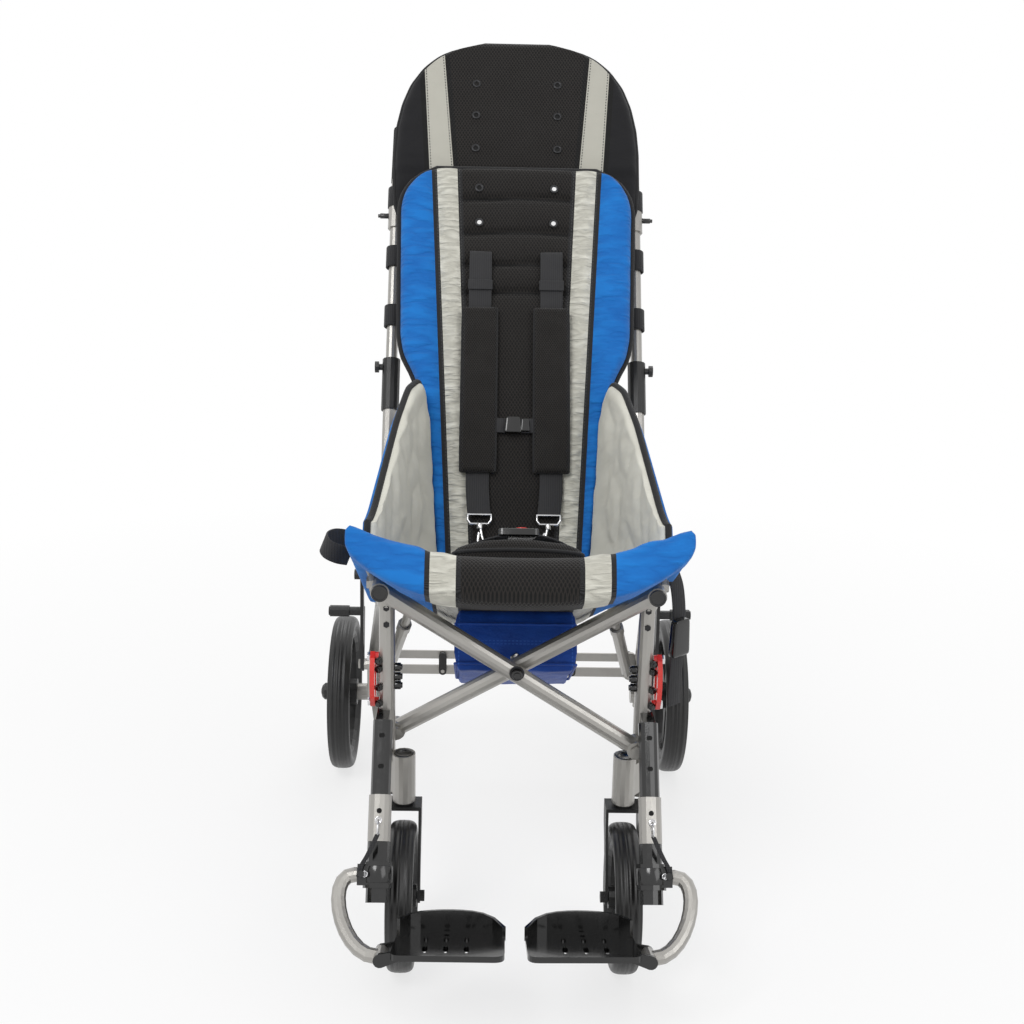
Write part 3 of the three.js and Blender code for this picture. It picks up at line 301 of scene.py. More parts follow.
PAINT = hard("silver_paint", (0.37, 0.358, 0.335), 0.34, 900.0, 0.00012, metallic=0.75, coat=0.25)
GLOSS = hard("gloss_black", (0.005, 0.005, 0.005), 0.16, 700.0, 0.00006, coat=0.3)
PLASTIC = hard("satin_black", (0.008, 0.008, 0.008), 0.4, 1400.0, 0.00025)
FOAM = hard("grip_foam", (0.009, 0.009, 0.009), 0.85, 900.0, 0.0008)
RED = hard("ring_red", (0.62, 0.02, 0.012), 0.3, 800.0, 0.0001, coat=0.4)
CHROME = hard("bright_steel", (0.62, 0.62, 0.63), 0.16, 1200.0, 0.00005, metallic=1.0)
BLACK_STEEL = hard("black_steel", (0.02, 0.02, 0.022), 0.3, 1100.0, 0.0001, metallic=0.4)

FINISH_OF = {
    "frame_paint": PAINT, "black_gloss": GLOSS, "black_plastic": PLASTIC, "grip_foam": FOAM,
    "ring_red": RED,
}
slot_of = {row["node"]: row["material_slot"] for row in frame["record"]["subparts"]}
for name, node in frame["nodes"].items():
    finish = FINISH_OF.get(slot_of[name])
    if finish:
        node.data.materials.clear()
        node.data.materials.append(finish)
print("painted", sum(slot_of[n] in FINISH_OF for n in frame["nodes"]), "frame parts")

# %% [markdown]
# ## Cloth finishes
# Four cloths cover the seat: a bright royal-blue nylon, a light grey quilting cloth, a black spacer mesh
# with a net of slanting holes, and black binding tape. One piece of upholstery shows several of them side by
# side, so its material chooses the cloth by the place on the piece. The places are read from an attribute
# that is stored on the cloth's points.

# %% Cloth patterns
# Each pair is a cloth in painted shade and in light; folds, puckers and mesh holes take the shaded one.
BLUE_DARK, BLUE_LIT = (0.002, 0.085, 0.36), (0.009, 0.20, 0.62)
GREY_DARK, GREY_LIT = (0.36, 0.35, 0.30), (0.74, 0.73, 0.65)
BLACK_DARK, BLACK_LIT = (0.001, 0.001, 0.001), (0.018, 0.015, 0.013)


def weave(x, z, pitch):
    """Plain weave: threads that pass over each other in turn, 0 to 1."""
    return (x * (TAU / pitch)).sine() * (z * (TAU / pitch)).sine() * 0.5 + 0.5


def honeycomb(x, z, pitch):
    """Two crossed waves make a net of slanting holes, 0 in a hole and 1 on the threads."""
    k = math.pi / pitch
    falling = (x * k + z * (k * 0.62)).sine()
    rising = (x * k - z * (k * 0.62)).sine()
    return (1.0 - (abs(falling * rising) * 2.4 - 0.35).kept()).kept()


def stitches(distance, run, gap=5.0):
    """A row of stitches on the line where distance is 0."""
    on_line = abs(distance).under(0.75)
    return on_line * run.wrap(gap).under(gap * 0.62)


def cloth(name, layout, roughness=0.78, patches=0.02, swing=0.1):
    """layout(made, point, x, y, z) gives the colour and the height in millimetres."""
    made = Finish(name, BLUE_LIT, roughness, sheen=0.1, specular=0.3)
    point = made.cloth_point()
    colour, height = layout(made, point, *made.split(point))
    made.set("Base Color", colour)
    made.set("Roughness", made.noise(point, patches) * swing + roughness)
    made.bump(height, MM)
    return made.material


def folds(made, point, across, along, sharp):
    """Soft swells with narrow valleys between them, where the cloth is drawn in: 0 in a valley."""
    field = made.noise(made.stretched(point, across, across, along), 1.0, 3.0, 0.5)
    return (abs(field - 0.5) * sharp).kept()


def blue_cloth(made, point, run, across):
    threads = weave(run, across, 1.7)
    creases = folds(made, point, 0.012, 0.042, 7.0)
    drift = made.noise(point, 0.012, 2.0)
    # Painted shade: crease valleys take the darker blue; the weave and the drift add the cloth's own tone.
    colour = made.mix(BLUE_DARK, BLUE_LIT, (threads * 0.12 + creases * 0.38 + drift * 0.7).kept())
    return colour, threads * 0.14 + creases * 1.9


def grey_cloth(made, point, run, across, drawn=1.0):
    """drawn is how hard the quilting pulls the cloth in: 1 in the strips and less on a loose panel."""
    threads = weave(run, across, 1.9)
    puckers = folds(made, point, 0.02, 0.085, 5.0) if drawn == 1 else folds(made, point, 0.011, 0.024, 3.0)
    depth = 0.62 * drawn
    # Painted shade: pucker valleys take the darker grey, deeper where the cloth is drawn in harder.
    colour = made.mix(GREY_DARK, GREY_LIT, (threads * 0.12 + puckers * depth + (0.9 - depth)).kept())
    return colour, threads * 0.15 + puckers * (3.0 * drawn)


def mesh_cloth(made, point, run, across, pitch=5.0):
    net = honeycomb(run, across, pitch)
    # Painted shade: the holes of the net take the darker, shaded black.
    colour = made.mix(BLACK_DARK, BLACK_LIT, net)
    return colour, net * 0.7 + made.noise(point, 0.03, 3.0) * 0.8


def layered(made, base, *layers):
    """Lays cloths over each other. Each layer is (mask, colour, height) and covers where its mask is 1."""
    colour, height = base
    for mask, top, rise in layers:
        colour = made.mix(colour, top, mask)
        height = height + mask * (rise - height)
    return colour, height


def tape(made, run, pitch=1.5):
    ribs = (run * (TAU / pitch)).sine() * 0.5 + 0.5
    return made.mix(BLACK_DARK, (0.03, 0.03, 0.032), ribs), ribs * 0.12


def panels(made, point, x, run, inner, outer, tape_width):
    """Mesh up to inner, a grey strip up to outer, then tape and blue. It also gives the tape's colour."""
    offset = abs(x)
    edge, edge_height = tape(made, run)
    colour, height = layered(
        made, mesh_cloth(made, point, x, run),
        (offset.over(inner), *grey_cloth(made, point, x, run)), (offset.over(outer), edge, edge_height),
        (offset.over(outer + tape_width), *blue_cloth(made, point, x, run)),
    )
    return colour, height, edge


# %% [markdown]
# ## Modelling helpers
# A padded cover starts as a flat grid. The grid is extruded once in edit mode, which gives a closed sheet
# with a front and a back, and its points are then moved to the pad's shape by a rule. Straps start as a
# plane whose last edge is extruded from point to point. Fasteners are turned from a primitive by inset,
# extrude and bevel.


# %% Modelling helpers
def clear():
    if bpy.context.object and bpy.context.object.mode != "OBJECT":
        bpy.ops.object.mode_set(mode="OBJECT")
    bpy.ops.object.select_all(action="DESELECT")


def pick(piece):
    clear()
    piece.select_set(True)
    bpy.context.view_layer.objects.active = piece


def fresh(name, finish):
    piece = bpy.context.object
    piece.name = name
    piece.data.name = name
    piece.data.materials.append(finish)
    return piece


def mesh_edit(piece, *actions):
    pick(piece)
    bpy.ops.object.mode_set(mode="EDIT")
    bpy.ops.mesh.select_all(action="SELECT")
    for action in actions:
        action()
    bpy.ops.object.mode_set(mode="OBJECT")


def outward():
    bpy.ops.mesh.normals_make_consistent(inside=False)


def settle(piece, angle=50):
    """Puts the object at the origin with its place in its mesh, and smooths its soft edges."""
    pick(piece)
    bpy.ops.object.transform_apply(location=True, rotation=True, scale=True)
    mesh_edit(piece, outward)
    bpy.ops.object.shade_smooth_by_angle(angle=math.radians(angle))
    clear()
    return piece


def modify(piece, kind, **settings):
    pick(piece)
    modifier = piece.modifiers.new(kind.lower(), kind)
    for key, value in settings.items():
        setattr(modifier, key, value)
    bpy.ops.object.modifier_apply(modifier=modifier.name)


def note_places(piece):
    """Stores each point's place on the cloth, in the seat's millimetres."""
    attribute = piece.data.attributes.new("place", "FLOAT_VECTOR", "POINT")
    places = []
    for vertex in piece.data.vertices:
        places.extend(in_seat(vertex.co))
    attribute.data.foreach_set("vector", places)


def closed_sheet(name, finish, columns, rows):
    clear()
    bpy.ops.mesh.primitive_grid_add(x_subdivisions=columns, y_subdivisions=rows, size=2)
    piece = fresh(name, finish)
    grow = {"value": (0, 0, 1)}
    mesh_edit(piece, lambda: bpy.ops.mesh.extrude_region_move(TRANSFORM_OT_translate=grow))
    return piece


def shape(piece, rule):
    """rule(u, v, side) gives a place in the seat's millimetres; side is 0 behind and 1 in front."""
    for vertex in piece.data.vertices:
        u, v, side = vertex.co
        vertex.co = seat_point(*rule(u, (v + 1) / 2, round(side)))


def choose(piece, corners):
    """Selects these points of the mesh, and the edges and faces that lie wholly between them."""
    for vertex in piece.data.vertices:
        vertex.select = vertex.index in corners
    for part in (*piece.data.edges, *piece.data.polygons):
        part.select = corners.issuperset(part.vertices)


def ribbon(name, finish, points, side, width, thickness):
    """A flat strap through the points, with its width along side."""
    clear()
    bpy.ops.mesh.primitive_plane_add(size=1)
    piece = fresh(name, finish)
    half = Vector(side).normalized() * width / 2
    corners = (points[0] - half, points[0] + half, points[1] - half, points[1] + half)
    for vertex, spot in zip(piece.data.vertices, corners):
        vertex.co = spot
    pick(piece)
    choose(piece, {2, 3})
    bpy.ops.object.mode_set(mode="EDIT")
    bpy.ops.mesh.select_mode(type="EDGE")
    for before, after in zip(points[1:], points[2:]):
        bpy.ops.mesh.extrude_edges_move(TRANSFORM_OT_translate={"value": after - before})
    bpy.ops.mesh.select_mode(type="VERT")
    bpy.ops.object.mode_set(mode="OBJECT")
    modify(piece, "SOLIDIFY", thickness=thickness, offset=0)
    modify(piece, "BEVEL", width=thickness * 0.3, segments=2, limit_method="ANGLE")
    return settle(piece)


def rounded(points, steps=6):
    """A smooth run through listed points."""
    path = []
    last = len(points) - 1
    for i in range(last):
        a = points[max(i - 1, 0)]
        b, c = points[i], points[i + 1]
        d = points[min(i + 2, last)]
        for k in range(steps):
            t = k / steps
            path.append(0.5 * (2 * b + (c - a) * t + (2 * a - 5 * b + 4 * c - d) * t * t
                               + (3 * b - a - 3 * c + d) * t ** 3))
    path.append(points[last])
    return path


def wire(name, finish, points, radius, closed=False):
    """A round rod or piping along the points."""
    data = bpy.data.curves.new(name, "CURVE")
    data.dimensions = "3D"
    data.bevel_depth = radius
    data.bevel_resolution = 3
    data.use_fill_caps = True
    spline = data.splines.new("POLY")
    spline.points.add(len(points) - 1)
    for point, place in zip(spline.points, points):
        point.co = (*place, 1)
    spline.use_cyclic_u = closed
    piece = bpy.data.objects.new(name, data)
    bpy.context.collection.objects.link(piece)
    pick(piece)
    bpy.ops.object.convert(target="MESH")
    piece = bpy.context.object
    piece.data.materials.append(finish)
    return settle(piece)


def turned(axis):
    return Vector(axis).to_track_quat("Z", "Y").to_euler()


def button(name, finish, place, axis, radius, height, sides=24, inset=0.25, sink=-0.15):
    """A turned head: a drum whose face is inset and moved in or out, with soft edges."""
    clear()
    bpy.ops.mesh.primitive_cylinder_add(vertices=sides, radius=radius, depth=height, location=place,
                                        rotation=turned(axis))
    piece = fresh(name, finish)
    top = max(piece.data.polygons, key=lambda face: face.center.z)
    choose(piece, set(top.vertices))
    pick(piece)
    bpy.ops.object.mode_set(mode="EDIT")
    bpy.ops.mesh.select_mode(type="FACE")
    bpy.ops.mesh.inset(thickness=radius * inset)
    shift = Vector(axis).normalized() * height * sink
    bpy.ops.mesh.extrude_region_move(TRANSFORM_OT_translate={"value": shift})
    bpy.ops.mesh.select_mode(type="VERT")
    bpy.ops.object.mode_set(mode="OBJECT")
    modify(piece, "BEVEL", width=min(radius, height) * 0.12, segments=2, limit_method="ANGLE")
    return settle(piece, 35)


def ring(name, finish, place, axis, radius, thickness, flatten=1.0):
    clear()
    bpy.ops.mesh.primitive_torus_add(major_radius=radius, minor_radius=thickness, major_segments=28,
                                     minor_segments=10, location=place, rotation=turned(axis))
    piece = fresh(name, finish)
    piece.scale.z = flatten
    return settle(piece)


def crumple(piece, body="seat_left"):
    """The piece rides on a body, with a mesh of its own."""
    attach(piece, body)
    keep = (RAIL_SPAN - FOLD_TRAVEL) / RAIL_SPAN
    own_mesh(piece)


def dress(piece, slot, body="seat_left", rides=False, replaced=None, fill=None):
    """Finishes a soft piece: its cloth places, its body, and the solid that it stands for. The slot is not
    used.
    """
    note_places(piece)
    if rides:
        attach(piece, body)
    else:
        crumple(piece, body)
    if replaced:
        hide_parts(replaced)


def lerp(a, b, t):
    return a + (b - a) * t


def unit(t):
    """Keeps a share between 0 and 1."""
    return min(1.0, max(0.0, t))


def smooth(t):
    t = unit(t)
    return t * t * (3 - 2 * t)


def table(rows, at):
    """Reads a value between the rows (place, value) of a short list."""
    if at <= rows[0][0]:
        return rows[0][1]
    for (low, first), (high, second) in zip(rows, rows[1:]):
        if at <= high:
            return lerp(first, second, (at - low) / (high - low))
    return rows[-1][1]


def soft_table(rows, at, blur=9):
    """The same list read as a smooth curve."""
    return sum(table(rows, at + shift * blur) * share for shift, share in ((-1, 0.25), (0, 0.5), (1, 0.25)))


def ripple(x, y, z, size):
    return noise.noise(Vector((x, y, z)) / size)


def ridge(x, y, z, size):
    """Noise with sharp valleys, from 0 in a valley to about 1."""
    return min(1.0, abs(ripple(x, y, z, size)) * 2.6)


def rim(distance, radius):
    """A rounded edge: 0 at the edge and 1 further in than radius."""
    t = unit(distance / radius)
    return math.sqrt(1 - (1 - t) ** 2)


def dome(at, low, high, power=0.6):
    """A panel that swells between two seams."""
    t = unit((at - low) / (high - low))
    return (4 * t * (1 - t)) ** power


# %% [markdown]
# ## Tyres
# The frame's tyres are turned with few sides. A torus is shaped to the same width and radius instead, so
# that the tread is round and shows its grooves, and it takes the place of the frame's tyre.


# %% Round tyres
def tread_finish(name, wheel_x, half_width):
    made = Finish(name, (0.010, 0.010, 0.010), 0.5)
    point = made.point()
    x, y, z = made.split(point)
    across = abs(abs(x) - wheel_x)
    dust = ((made.noise(point, 30.0, 5.0, 0.65) - 0.5) * 4.0).kept()
    grooves = (across * (TAU / (half_width / 2.2))).sine()
    made.set("Base Color", made.mix((0.006, 0.006, 0.006), (0.032, 0.031, 0.029), dust * 0.5))
    made.set("Roughness", (dust * 0.2 + 0.38).kept())
    made.bump(grooves * 0.6 + made.noise(point, 1500.0, 3.0) * 0.15, 0.001)
    return made.material


DRAFT_RING, DRAFT_TUBE = 0.1, 0.01


def round_tyre(name, kind, wheel_body, rim_radius, tread):
    low, high = (Vector(corner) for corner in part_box(f"{kind}_{name}"))
    middle = (low + high) / 2
    outer = middle.z - low.z
    half_width = (high.x - low.x) / 2
    clear()
    bpy.ops.mesh.primitive_torus_add(major_segments=96, minor_segments=24, major_radius=DRAFT_RING,
                                     minor_radius=DRAFT_TUBE)
    tyre = fresh(f"{kind}_round_{name}", tread)
    ring_middle, ring_half = (rim_radius + outer) / 2, (outer - rim_radius) / 2
    for vertex in tyre.data.vertices:
        x, y, z = vertex.co
        turn = math.atan2(y, x)
        c, s = (math.hypot(x, y) - DRAFT_RING) / DRAFT_TUBE, z / DRAFT_TUBE
        radius = ring_middle + ring_half * math.copysign(abs(c) ** 0.75, c)
        along = half_width * math.copysign(abs(s) ** 0.7, s)
        vertex.co = middle + Vector((along, radius * math.cos(turn), radius * math.sin(turn)))
    mesh_edit(tyre, outward)
    bpy.ops.object.shade_smooth()
    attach(tyre, f"{wheel_body}_{name}")
    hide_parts(f"{kind}_{name}")


REAR_RIM, CASTER_RIM = 0.105, 0.074
for kind, wheel_body, rim_radius in (("rear_tyre", "wheel", REAR_RIM), ("caster_tyre", "caster", CASTER_RIM)):
    inner_side, outer_side = (corner[0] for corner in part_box(f"{kind}_right"))
    tread = tread_finish(f"{kind}_rubber", (inner_side + outer_side) / 2, (outer_side - inner_side) / 2)
    for word in ("left", "right"):
        round_tyre(word, kind, wheel_body, rim_radius, tread)

# %% [markdown]
# ## Swelling a cover
# A sewn cover is stretched over its foam and swells between its seams. A short cloth run with a little
# pressure gives the loose, slightly uneven fullness that a formula lacks. The seams are held still by a
# group of points, and no point may move further than a limit.


# %% Swelling
def swell(piece, voxel, limit, held):
    modify(piece, "REMESH", mode="VOXEL", voxel_size=voxel * MM)
    group = piece.vertex_groups.new(name="seams")
    before = [vertex.co.copy() for vertex in piece.data.vertices]
    for vertex in piece.data.vertices:
        if held(*in_seat(vertex.co)):
            group.add([vertex.index], 1.0, "REPLACE")
    run = piece.modifiers.new("cover", "CLOTH")
    run.settings.use_pressure = True
    run.settings.uniform_pressure_force = 4
    run.settings.vertex_group_mass = "seams"
    run.settings.quality = 4
    run.settings.effector_weights.gravity = 0
    for number in range(1, 21):
        bpy.context.scene.frame_set(number)
    pick(piece)
    bpy.ops.object.modifier_apply(modifier=run.name)
    for vertex, start in zip(piece.data.vertices, before):
        move = vertex.co - start
        if move.length > limit * MM:
            vertex.co = start + move.normalized() * limit * MM
    bpy.context.scene.frame_set(1)
    piece.vertex_groups.clear()
    modify(piece, "SUBSURF", levels=1, render_levels=1)
    print(piece.name, "swelled,", len(piece.data.vertices), "points")


def cover(name, finish, grid, rule, slot, swollen=None, angle=70, **worn):
    """A sewn cover: a closed sheet moved to its rule, swelled where that is asked, and dressed."""
    piece = closed_sheet(name, finish, *grid)
    shape(piece, rule)
    if swollen:
        swell(piece, *swollen)
    settle(piece, angle)
    dress(piece, slot, **worn)
    return piece


# %% [markdown]
# ## Back cover
# The back is one padded cover. Its middle is black spacer mesh with four sewn channels near the top, a
# light grey quilted strip runs down each side of it, and a blue panel closes each edge, with a black tape
# between grey and blue. All panels are drawn in along their seams.

# %% Back cover
BACK_FRONT, BACK_REAR = 258.5, 293.5
BACK_LOW, BACK_TOP = 13, 712
BACK_HALF = [
    (14, 96), (22, 108), (40, 113), (110, 117), (300, 136), (366, 152), (400, 170), (430, 176), (644, 181),
    (668, 176), (690, 162), (704, 144), (711, 120),
]
CHANNELS = (500, 546, 599, 656)
STRIP_LOW, STRIP_TOP = 115, 695
STRIP_INNER = (66, 92)
STRIP_OUTER = (92, 124)
TAPE_WIDTH = 8


def strip_edges(z):
    """Where the grey strip starts and ends at a height, which is a number or a reading."""
    t = (z - STRIP_LOW) / (STRIP_TOP - STRIP_LOW)
    return lerp(*STRIP_INNER, t), lerp(*STRIP_OUTER, t)


def back_swell(x, z, half):
    inner, outer = strip_edges(z)
    offset = abs(x)
    if offset < inner:
        full = 8 * dome(offset, -inner, inner, 0.4)
        near = min(abs(z - channel - 1.5 * math.sin(x / 30)) for channel in CHANNELS)
        channel_depth = 9 * math.exp(-(near / 5) ** 2) + 4 * math.exp(-(near / 16) ** 2)
        return full - channel_depth * min(1, (inner - offset) / 8)
    if offset < outer:
        puckers = 4.5 * ridge(x / 2.5, 5, z, 9) + 1.5 * ripple(x, 9, z, 30)
        return (3.5 + puckers) * dome(offset, inner, outer, 0.4)
    edge = outer + TAPE_WIDTH
    if offset < edge:
        return 0.6
    creases = 4.0 * ridge(x / 3, 20, z, 24) * (1 - 0.5 * dome(offset, edge, half)) + 2.5 * ripple(x, 9, z, 60)
    return (8 + creases) * dome(offset, edge, half + 6, 0.5)


def back_rule(u, v, side):
    z = lerp(BACK_LOW, BACK_TOP, v)
    half = soft_table(BACK_HALF, z)
    x = u * half
    full = min(rim(half - abs(x), 12), rim(z - BACK_LOW + 1, 12), rim(BACK_TOP + 1 - z, 14))
    front = BACK_FRONT + 3 - back_swell(x, z, half) * full
    middle = (front + BACK_REAR) / 2
    reach = max(0.6, (BACK_REAR - front) / 2 * full)
    return x, middle - reach if side else middle + reach, z


def back_layout(made, point, x, y, z):
    inner, outer = strip_edges(z)
    offset = abs(x)
    front = y.under(BACK_REAR - 8.0)
    colour, height, edge = panels(made, point, x, z, inner, outer, TAPE_WIDTH)
    colour = made.mix(colour, edge, abs(offset - inner + 3.5).under(3.5))
    # Painted shade: a near-black line along each sewn channel, where the mesh dips between the rolls.
    for channel in CHANNELS:
        channel_shade = abs(z - float(channel)).under(1.6) * offset.under(inner - 7.0)
        colour = made.mix(colour, (0.0005, 0.0005, 0.0005), channel_shade)
    colour = made.mix((0.012, 0.012, 0.013), colour, front)
    seam = stitches(offset - inner + 3.0, z).most(stitches(offset - outer - 2.0, z))
    colour = made.mix(colour, (0.05, 0.05, 0.05), seam)
    return colour, height


def back_held(x, y, z):
    inner, outer = strip_edges(z)
    edges = min(abs(abs(x) - inner), abs(abs(x) - outer - TAPE_WIDTH / 2), table(BACK_HALF, z) - abs(x))
    return y > BACK_REAR - 12 or edges < 6 or z < BACK_LOW + 10 or z > BACK_TOP - 10


back_cover = cover("back_cover", cloth("back_cloth", back_layout), (97, 176), back_rule, "mesh_black",
                   (4.5, 4, back_held), replaced="back_pad", fill=0.6)
print("back cover", len(back_cover.data.polygons), "faces")

# %% [markdown]
# ## Binding
# The raw edges of each padded piece are closed with black tape folded over them. From a step away the
# tape reads as a firm black line all round, so it is made as piping that follows the outline.


# %% Binding
def tape_layout(made, point, x, y, z):
    return tape(made, x + y + z)


BINDING = cloth("black_tape", tape_layout, 0.75, 0.05)


def outline(half_rows, low, high, y, steps=60):
    """Both sides of a symmetrical pad, from the bottom left round the top to the bottom right."""
    heights = [lerp(low, high, k / steps) for k in range(steps + 1)]
    left = [(-soft_table(half_rows, z, 6), y, z) for z in heights]
    over = [(x, y, z) for x, _, z in reversed(left)]
    return [seat_point(*p) for p in left] + [seat_point(-x, y_, z) for x, y_, z in over]


def binding(name, points, radius, body="seat_left", rides=False):
    dress(wire(name, BINDING, points, radius * MM, True), "webbing_black", body, rides)


binding("back_binding", outline(BACK_HALF, BACK_LOW + 1, BACK_TOP, 272), 4.6)

# %% [markdown]
# ## Head section
# The head section is a flatter pad on the cane tops, behind the back cover. Its middle is the same black
# mesh, a plain grey strip runs up each side, and its shoulders are black nylon. Three eyelets on each
# side take the headrest straps.

# %% Head cover
HEAD_FRONT, HEAD_REAR = 295.0, 312.4
HEAD_LOW, HEAD_TOP = 639, 951
HEAD_HALF = [
    (640, 182), (660, 190), (700, 193), (760, 193), (800, 190), (840, 182), (875, 169), (905, 149),
    (925, 127), (938, 103), (946, 72), (951, 44),
]
HEAD_STRIP = ((729, 100, 138), (909, 116, 150))


def head_edges(z):
    (low, inner0, outer0), (high, inner1, outer1) = HEAD_STRIP
    t = (z - low) / (high - low)
    return lerp(inner0, inner1, t), lerp(outer0, outer1, t)


def head_rule(u, v, side):
    z = lerp(HEAD_LOW, HEAD_TOP, 1 - (1 - v) ** 1.5)
    half = soft_table(HEAD_HALF, z, 6)
    x = u * half
    inner, outer = head_edges(z)
    full = min(rim(half - abs(x), 14), rim(z - HEAD_LOW + 1, 9), rim(HEAD_TOP + 1 - z, 14))
    clear_of_back = unit((z - 716) / 12)
    if abs(x) < inner:
        puff = 3.5 * dome(abs(x), -inner, inner, 0.4) + 1.2 * ripple(x, 2, z, 45)
    elif abs(x) < outer:
        puff = 1.5 * dome(abs(x), inner, outer)
    else:
        puff = 5 * dome(abs(x), outer, half + 8) + 1.6 * ripple(x, 7, z, 30)
    front = HEAD_FRONT - puff * clear_of_back
    middle = (front + HEAD_REAR) / 2
    reach = max(0.6, (HEAD_REAR - front) / 2 * full)
    return x, middle - reach if side else middle + reach, z


def head_layout(made, point, x, y, z):
    inner, outer = head_edges(z)
    offset = abs(x)
    net, net_height = mesh_cloth(made, point, x, z)
    threads = weave(x, z, 1.6)
    creases = made.noise(made.stretched(point, 0.03, 0.03, 0.05), 1.0, 4.0)
    # Painted shade: black and grey darken where the crease noise is low, in the valleys the bump sinks.
    black = made.mix((0.003, 0.003, 0.004), (0.012, 0.012, 0.014), threads * 0.4 + creases * 0.5)
    grey = made.mix((0.42, 0.41, 0.36), (0.52, 0.51, 0.45), threads * 0.4 + creases * 0.5)
    in_strip = offset.over(inner) * offset.under(outer) * y.under(HEAD_REAR - 6.0)
    colour = made.mix(net, black, offset.over(outer))
    colour = made.mix(colour, grey, in_strip)
    colour = made.mix(colour, (0.004, 0.004, 0.004), abs(offset - inner + 4.5).under(3.5))
    colour = made.mix(colour, (0.004, 0.004, 0.004), abs(offset - outer - 4.5).under(3.5))
    seam = stitches(offset - inner - 2.5, z).most(stitches(offset - outer + 2.5, z))
    colour = made.mix(colour, (0.07, 0.07, 0.07), seam)
    height = net_height + offset.over(inner) * (threads * 0.14 + creases * 1.5 - net_height)
    return colour, height


cover("head_cover", cloth("head_cloth", head_layout, 0.8), (81, 84), head_rule, "mesh_black",
      body="back_left", replaced="head_pad", fill=0.4)
binding("head_binding", outline(HEAD_HALF, HEAD_LOW + 1, HEAD_TOP, 303), 3.2, "back_left")

# %% [markdown]
# ## Seat cover
# The seat is a sling cushion that hangs between the rails and rolls over its front edge. The middle is
# mesh, the strips beside it are grey, and the wings that wrap the rails are blue. Seen from the front,
# the roll is a fat lip that climbs to a tip at each end.

# %% Seat cover
SEAT_HALF = 208
SEAT_FRONT, SEAT_REAR = -108, 249
SEAT_STRIP = (76, 107)
SEAT_TAPE = 6


def seat_top(x, y):
    side = (abs(x) / 205) ** 2.4
    roll = 8 * math.exp(-((y + 70) / 45) ** 2)
    return 6 + 42 * side + roll * (1 - side)


def seat_under(x, y):
    front = -41 + 62 * (abs(x) / 208) ** 3.2
    rear = -16 + 34 * smooth((abs(x) - 66) / 90)
    brace_room = 14 * math.exp(-((abs(x) - 170) / 18) ** 2 - ((y + 42) / 20) ** 2)
    return lerp(front, max(front, rear), smooth((y + 50) / 12)) + brace_room


def seat_puff(x, y):
    offset = abs(x)
    low, high = SEAT_STRIP
    if offset < low:
        return 3 * dome(offset, -low, low, 0.4)
    if offset < high:
        return 2.6 * dome(offset, low, high, 0.5) + 0.8 * ripple(x, y, 3, 14)
    if offset < high + SEAT_TAPE:
        return 0.4
    creases = 2.2 * ridge(x, y / 2.5, 8, 34) + 1.2 * ripple(x, y, 8, 26)
    return 2.5 * dome(offset, high + SEAT_TAPE, 230, 0.5) + creases


def seat_rule(u, v, side):
    x = u * SEAT_HALF
    y = lerp(SEAT_FRONT, SEAT_REAR, v ** 1.25)
    lip = lerp(24, 9, smooth((abs(x) - 85) / 40))
    full = min(rim(SEAT_HALF + 1 - abs(x), 8), rim(y - SEAT_FRONT + 1, lip), rim(SEAT_REAR + 1 - y, 10))
    top, bottom = seat_top(x, y), seat_under(x, y)
    middle = (top + bottom) / 2
    reach = max(0.8, (top - bottom) / 2 * full)
    puff = seat_puff(x, y) * full
    pull = puff * 0.5 if y < -70 else 0
    z = middle + reach + puff if side else middle - reach - min(puff, 1.5)
    return x, y - pull, z


def seat_layout(made, point, x, y, z):
    low, high = SEAT_STRIP
    colour, height, edge = panels(made, point, x, y + z, low, high, SEAT_TAPE)
    colour = made.mix(colour, edge, abs(abs(x) - (low - 3.0)).under(3.0))
    return colour, height


def seat_held(x, y, z):
    offset = abs(x)
    seams = min(abs(offset - SEAT_STRIP[0]), abs(offset - SEAT_STRIP[1] - SEAT_TAPE / 2))
    return seams < 5 or offset > 176 or y > SEAT_REAR - 14 or (y > -40 and z < seat_under(x, y) + 8)


cover("seat_cover", cloth("seat_cloth", seat_layout), (105, 90), seat_rule, "fabric_blue",
      (4.5, 5, seat_held), replaced="seat_cushion", fill=0.6)

# %% [markdown]
# ## Hip guides
# A padded wing stands on each side of the hips. Its inner face is light grey, its outer face is blue, and
# black tape binds the edge. The wing flares from the foot of the back towards the front of the rail.

# %% Hip guides
WING_TOP = [(0, 322), (0.06, 334), (0.14, 336), (0.3, 312), (0.5, 250), (0.7, 172), (0.88, 104), (0.96, 84),
            (1, 80)]
RAIL_TOP = 38.8


def wing_x(t):
    return lerp(128, 192, t ** 0.75)


def wing_y(t):
    return lerp(232, 14, t)


def wing_low(t):
    crown = seat_top(wing_x(t) + 3, wing_y(t)) + 1.5
    return max(crown, RAIL_TOP if wing_x(t) > 174 else 0)


def wing_spine(t, z):
    """The middle of the wing; its rear edge turns in and is sewn to the side of the back."""
    share = smooth(1 - t / 0.14)
    x = lerp(wing_x(t), soft_table(BACK_HALF, z) + 1, share * 0.95)
    y = lerp(wing_y(t), 262, share * 0.95)
    return x, y


def wing_rule(sign):
    def rule(u, v, side):
        t = (u + 1) / 2
        full = min(rim(t, 0.05), rim(1 - t, 0.05), rim(v, 0.06), rim(1 - v, 0.06))
        swelling = 8.5 + 4 * math.sin(math.pi * v) * math.sin(math.pi * t)
        z = lerp(wing_low(t), soft_table(WING_TOP, t, 0.03), v)
        draped = 3.6 * ridge(t * 200, 3 * sign, z / 2, 46) + 1.4 * ripple(t * 200, 8, z, 17)
        reach = max(0.6, (swelling + draped * (0 if side else 1)) * full)
        offset = -reach if side == 0 else reach
        x, y = wing_spine(t, z)
        return sign * (x + offset), y + offset * 0.3, z
    return rule


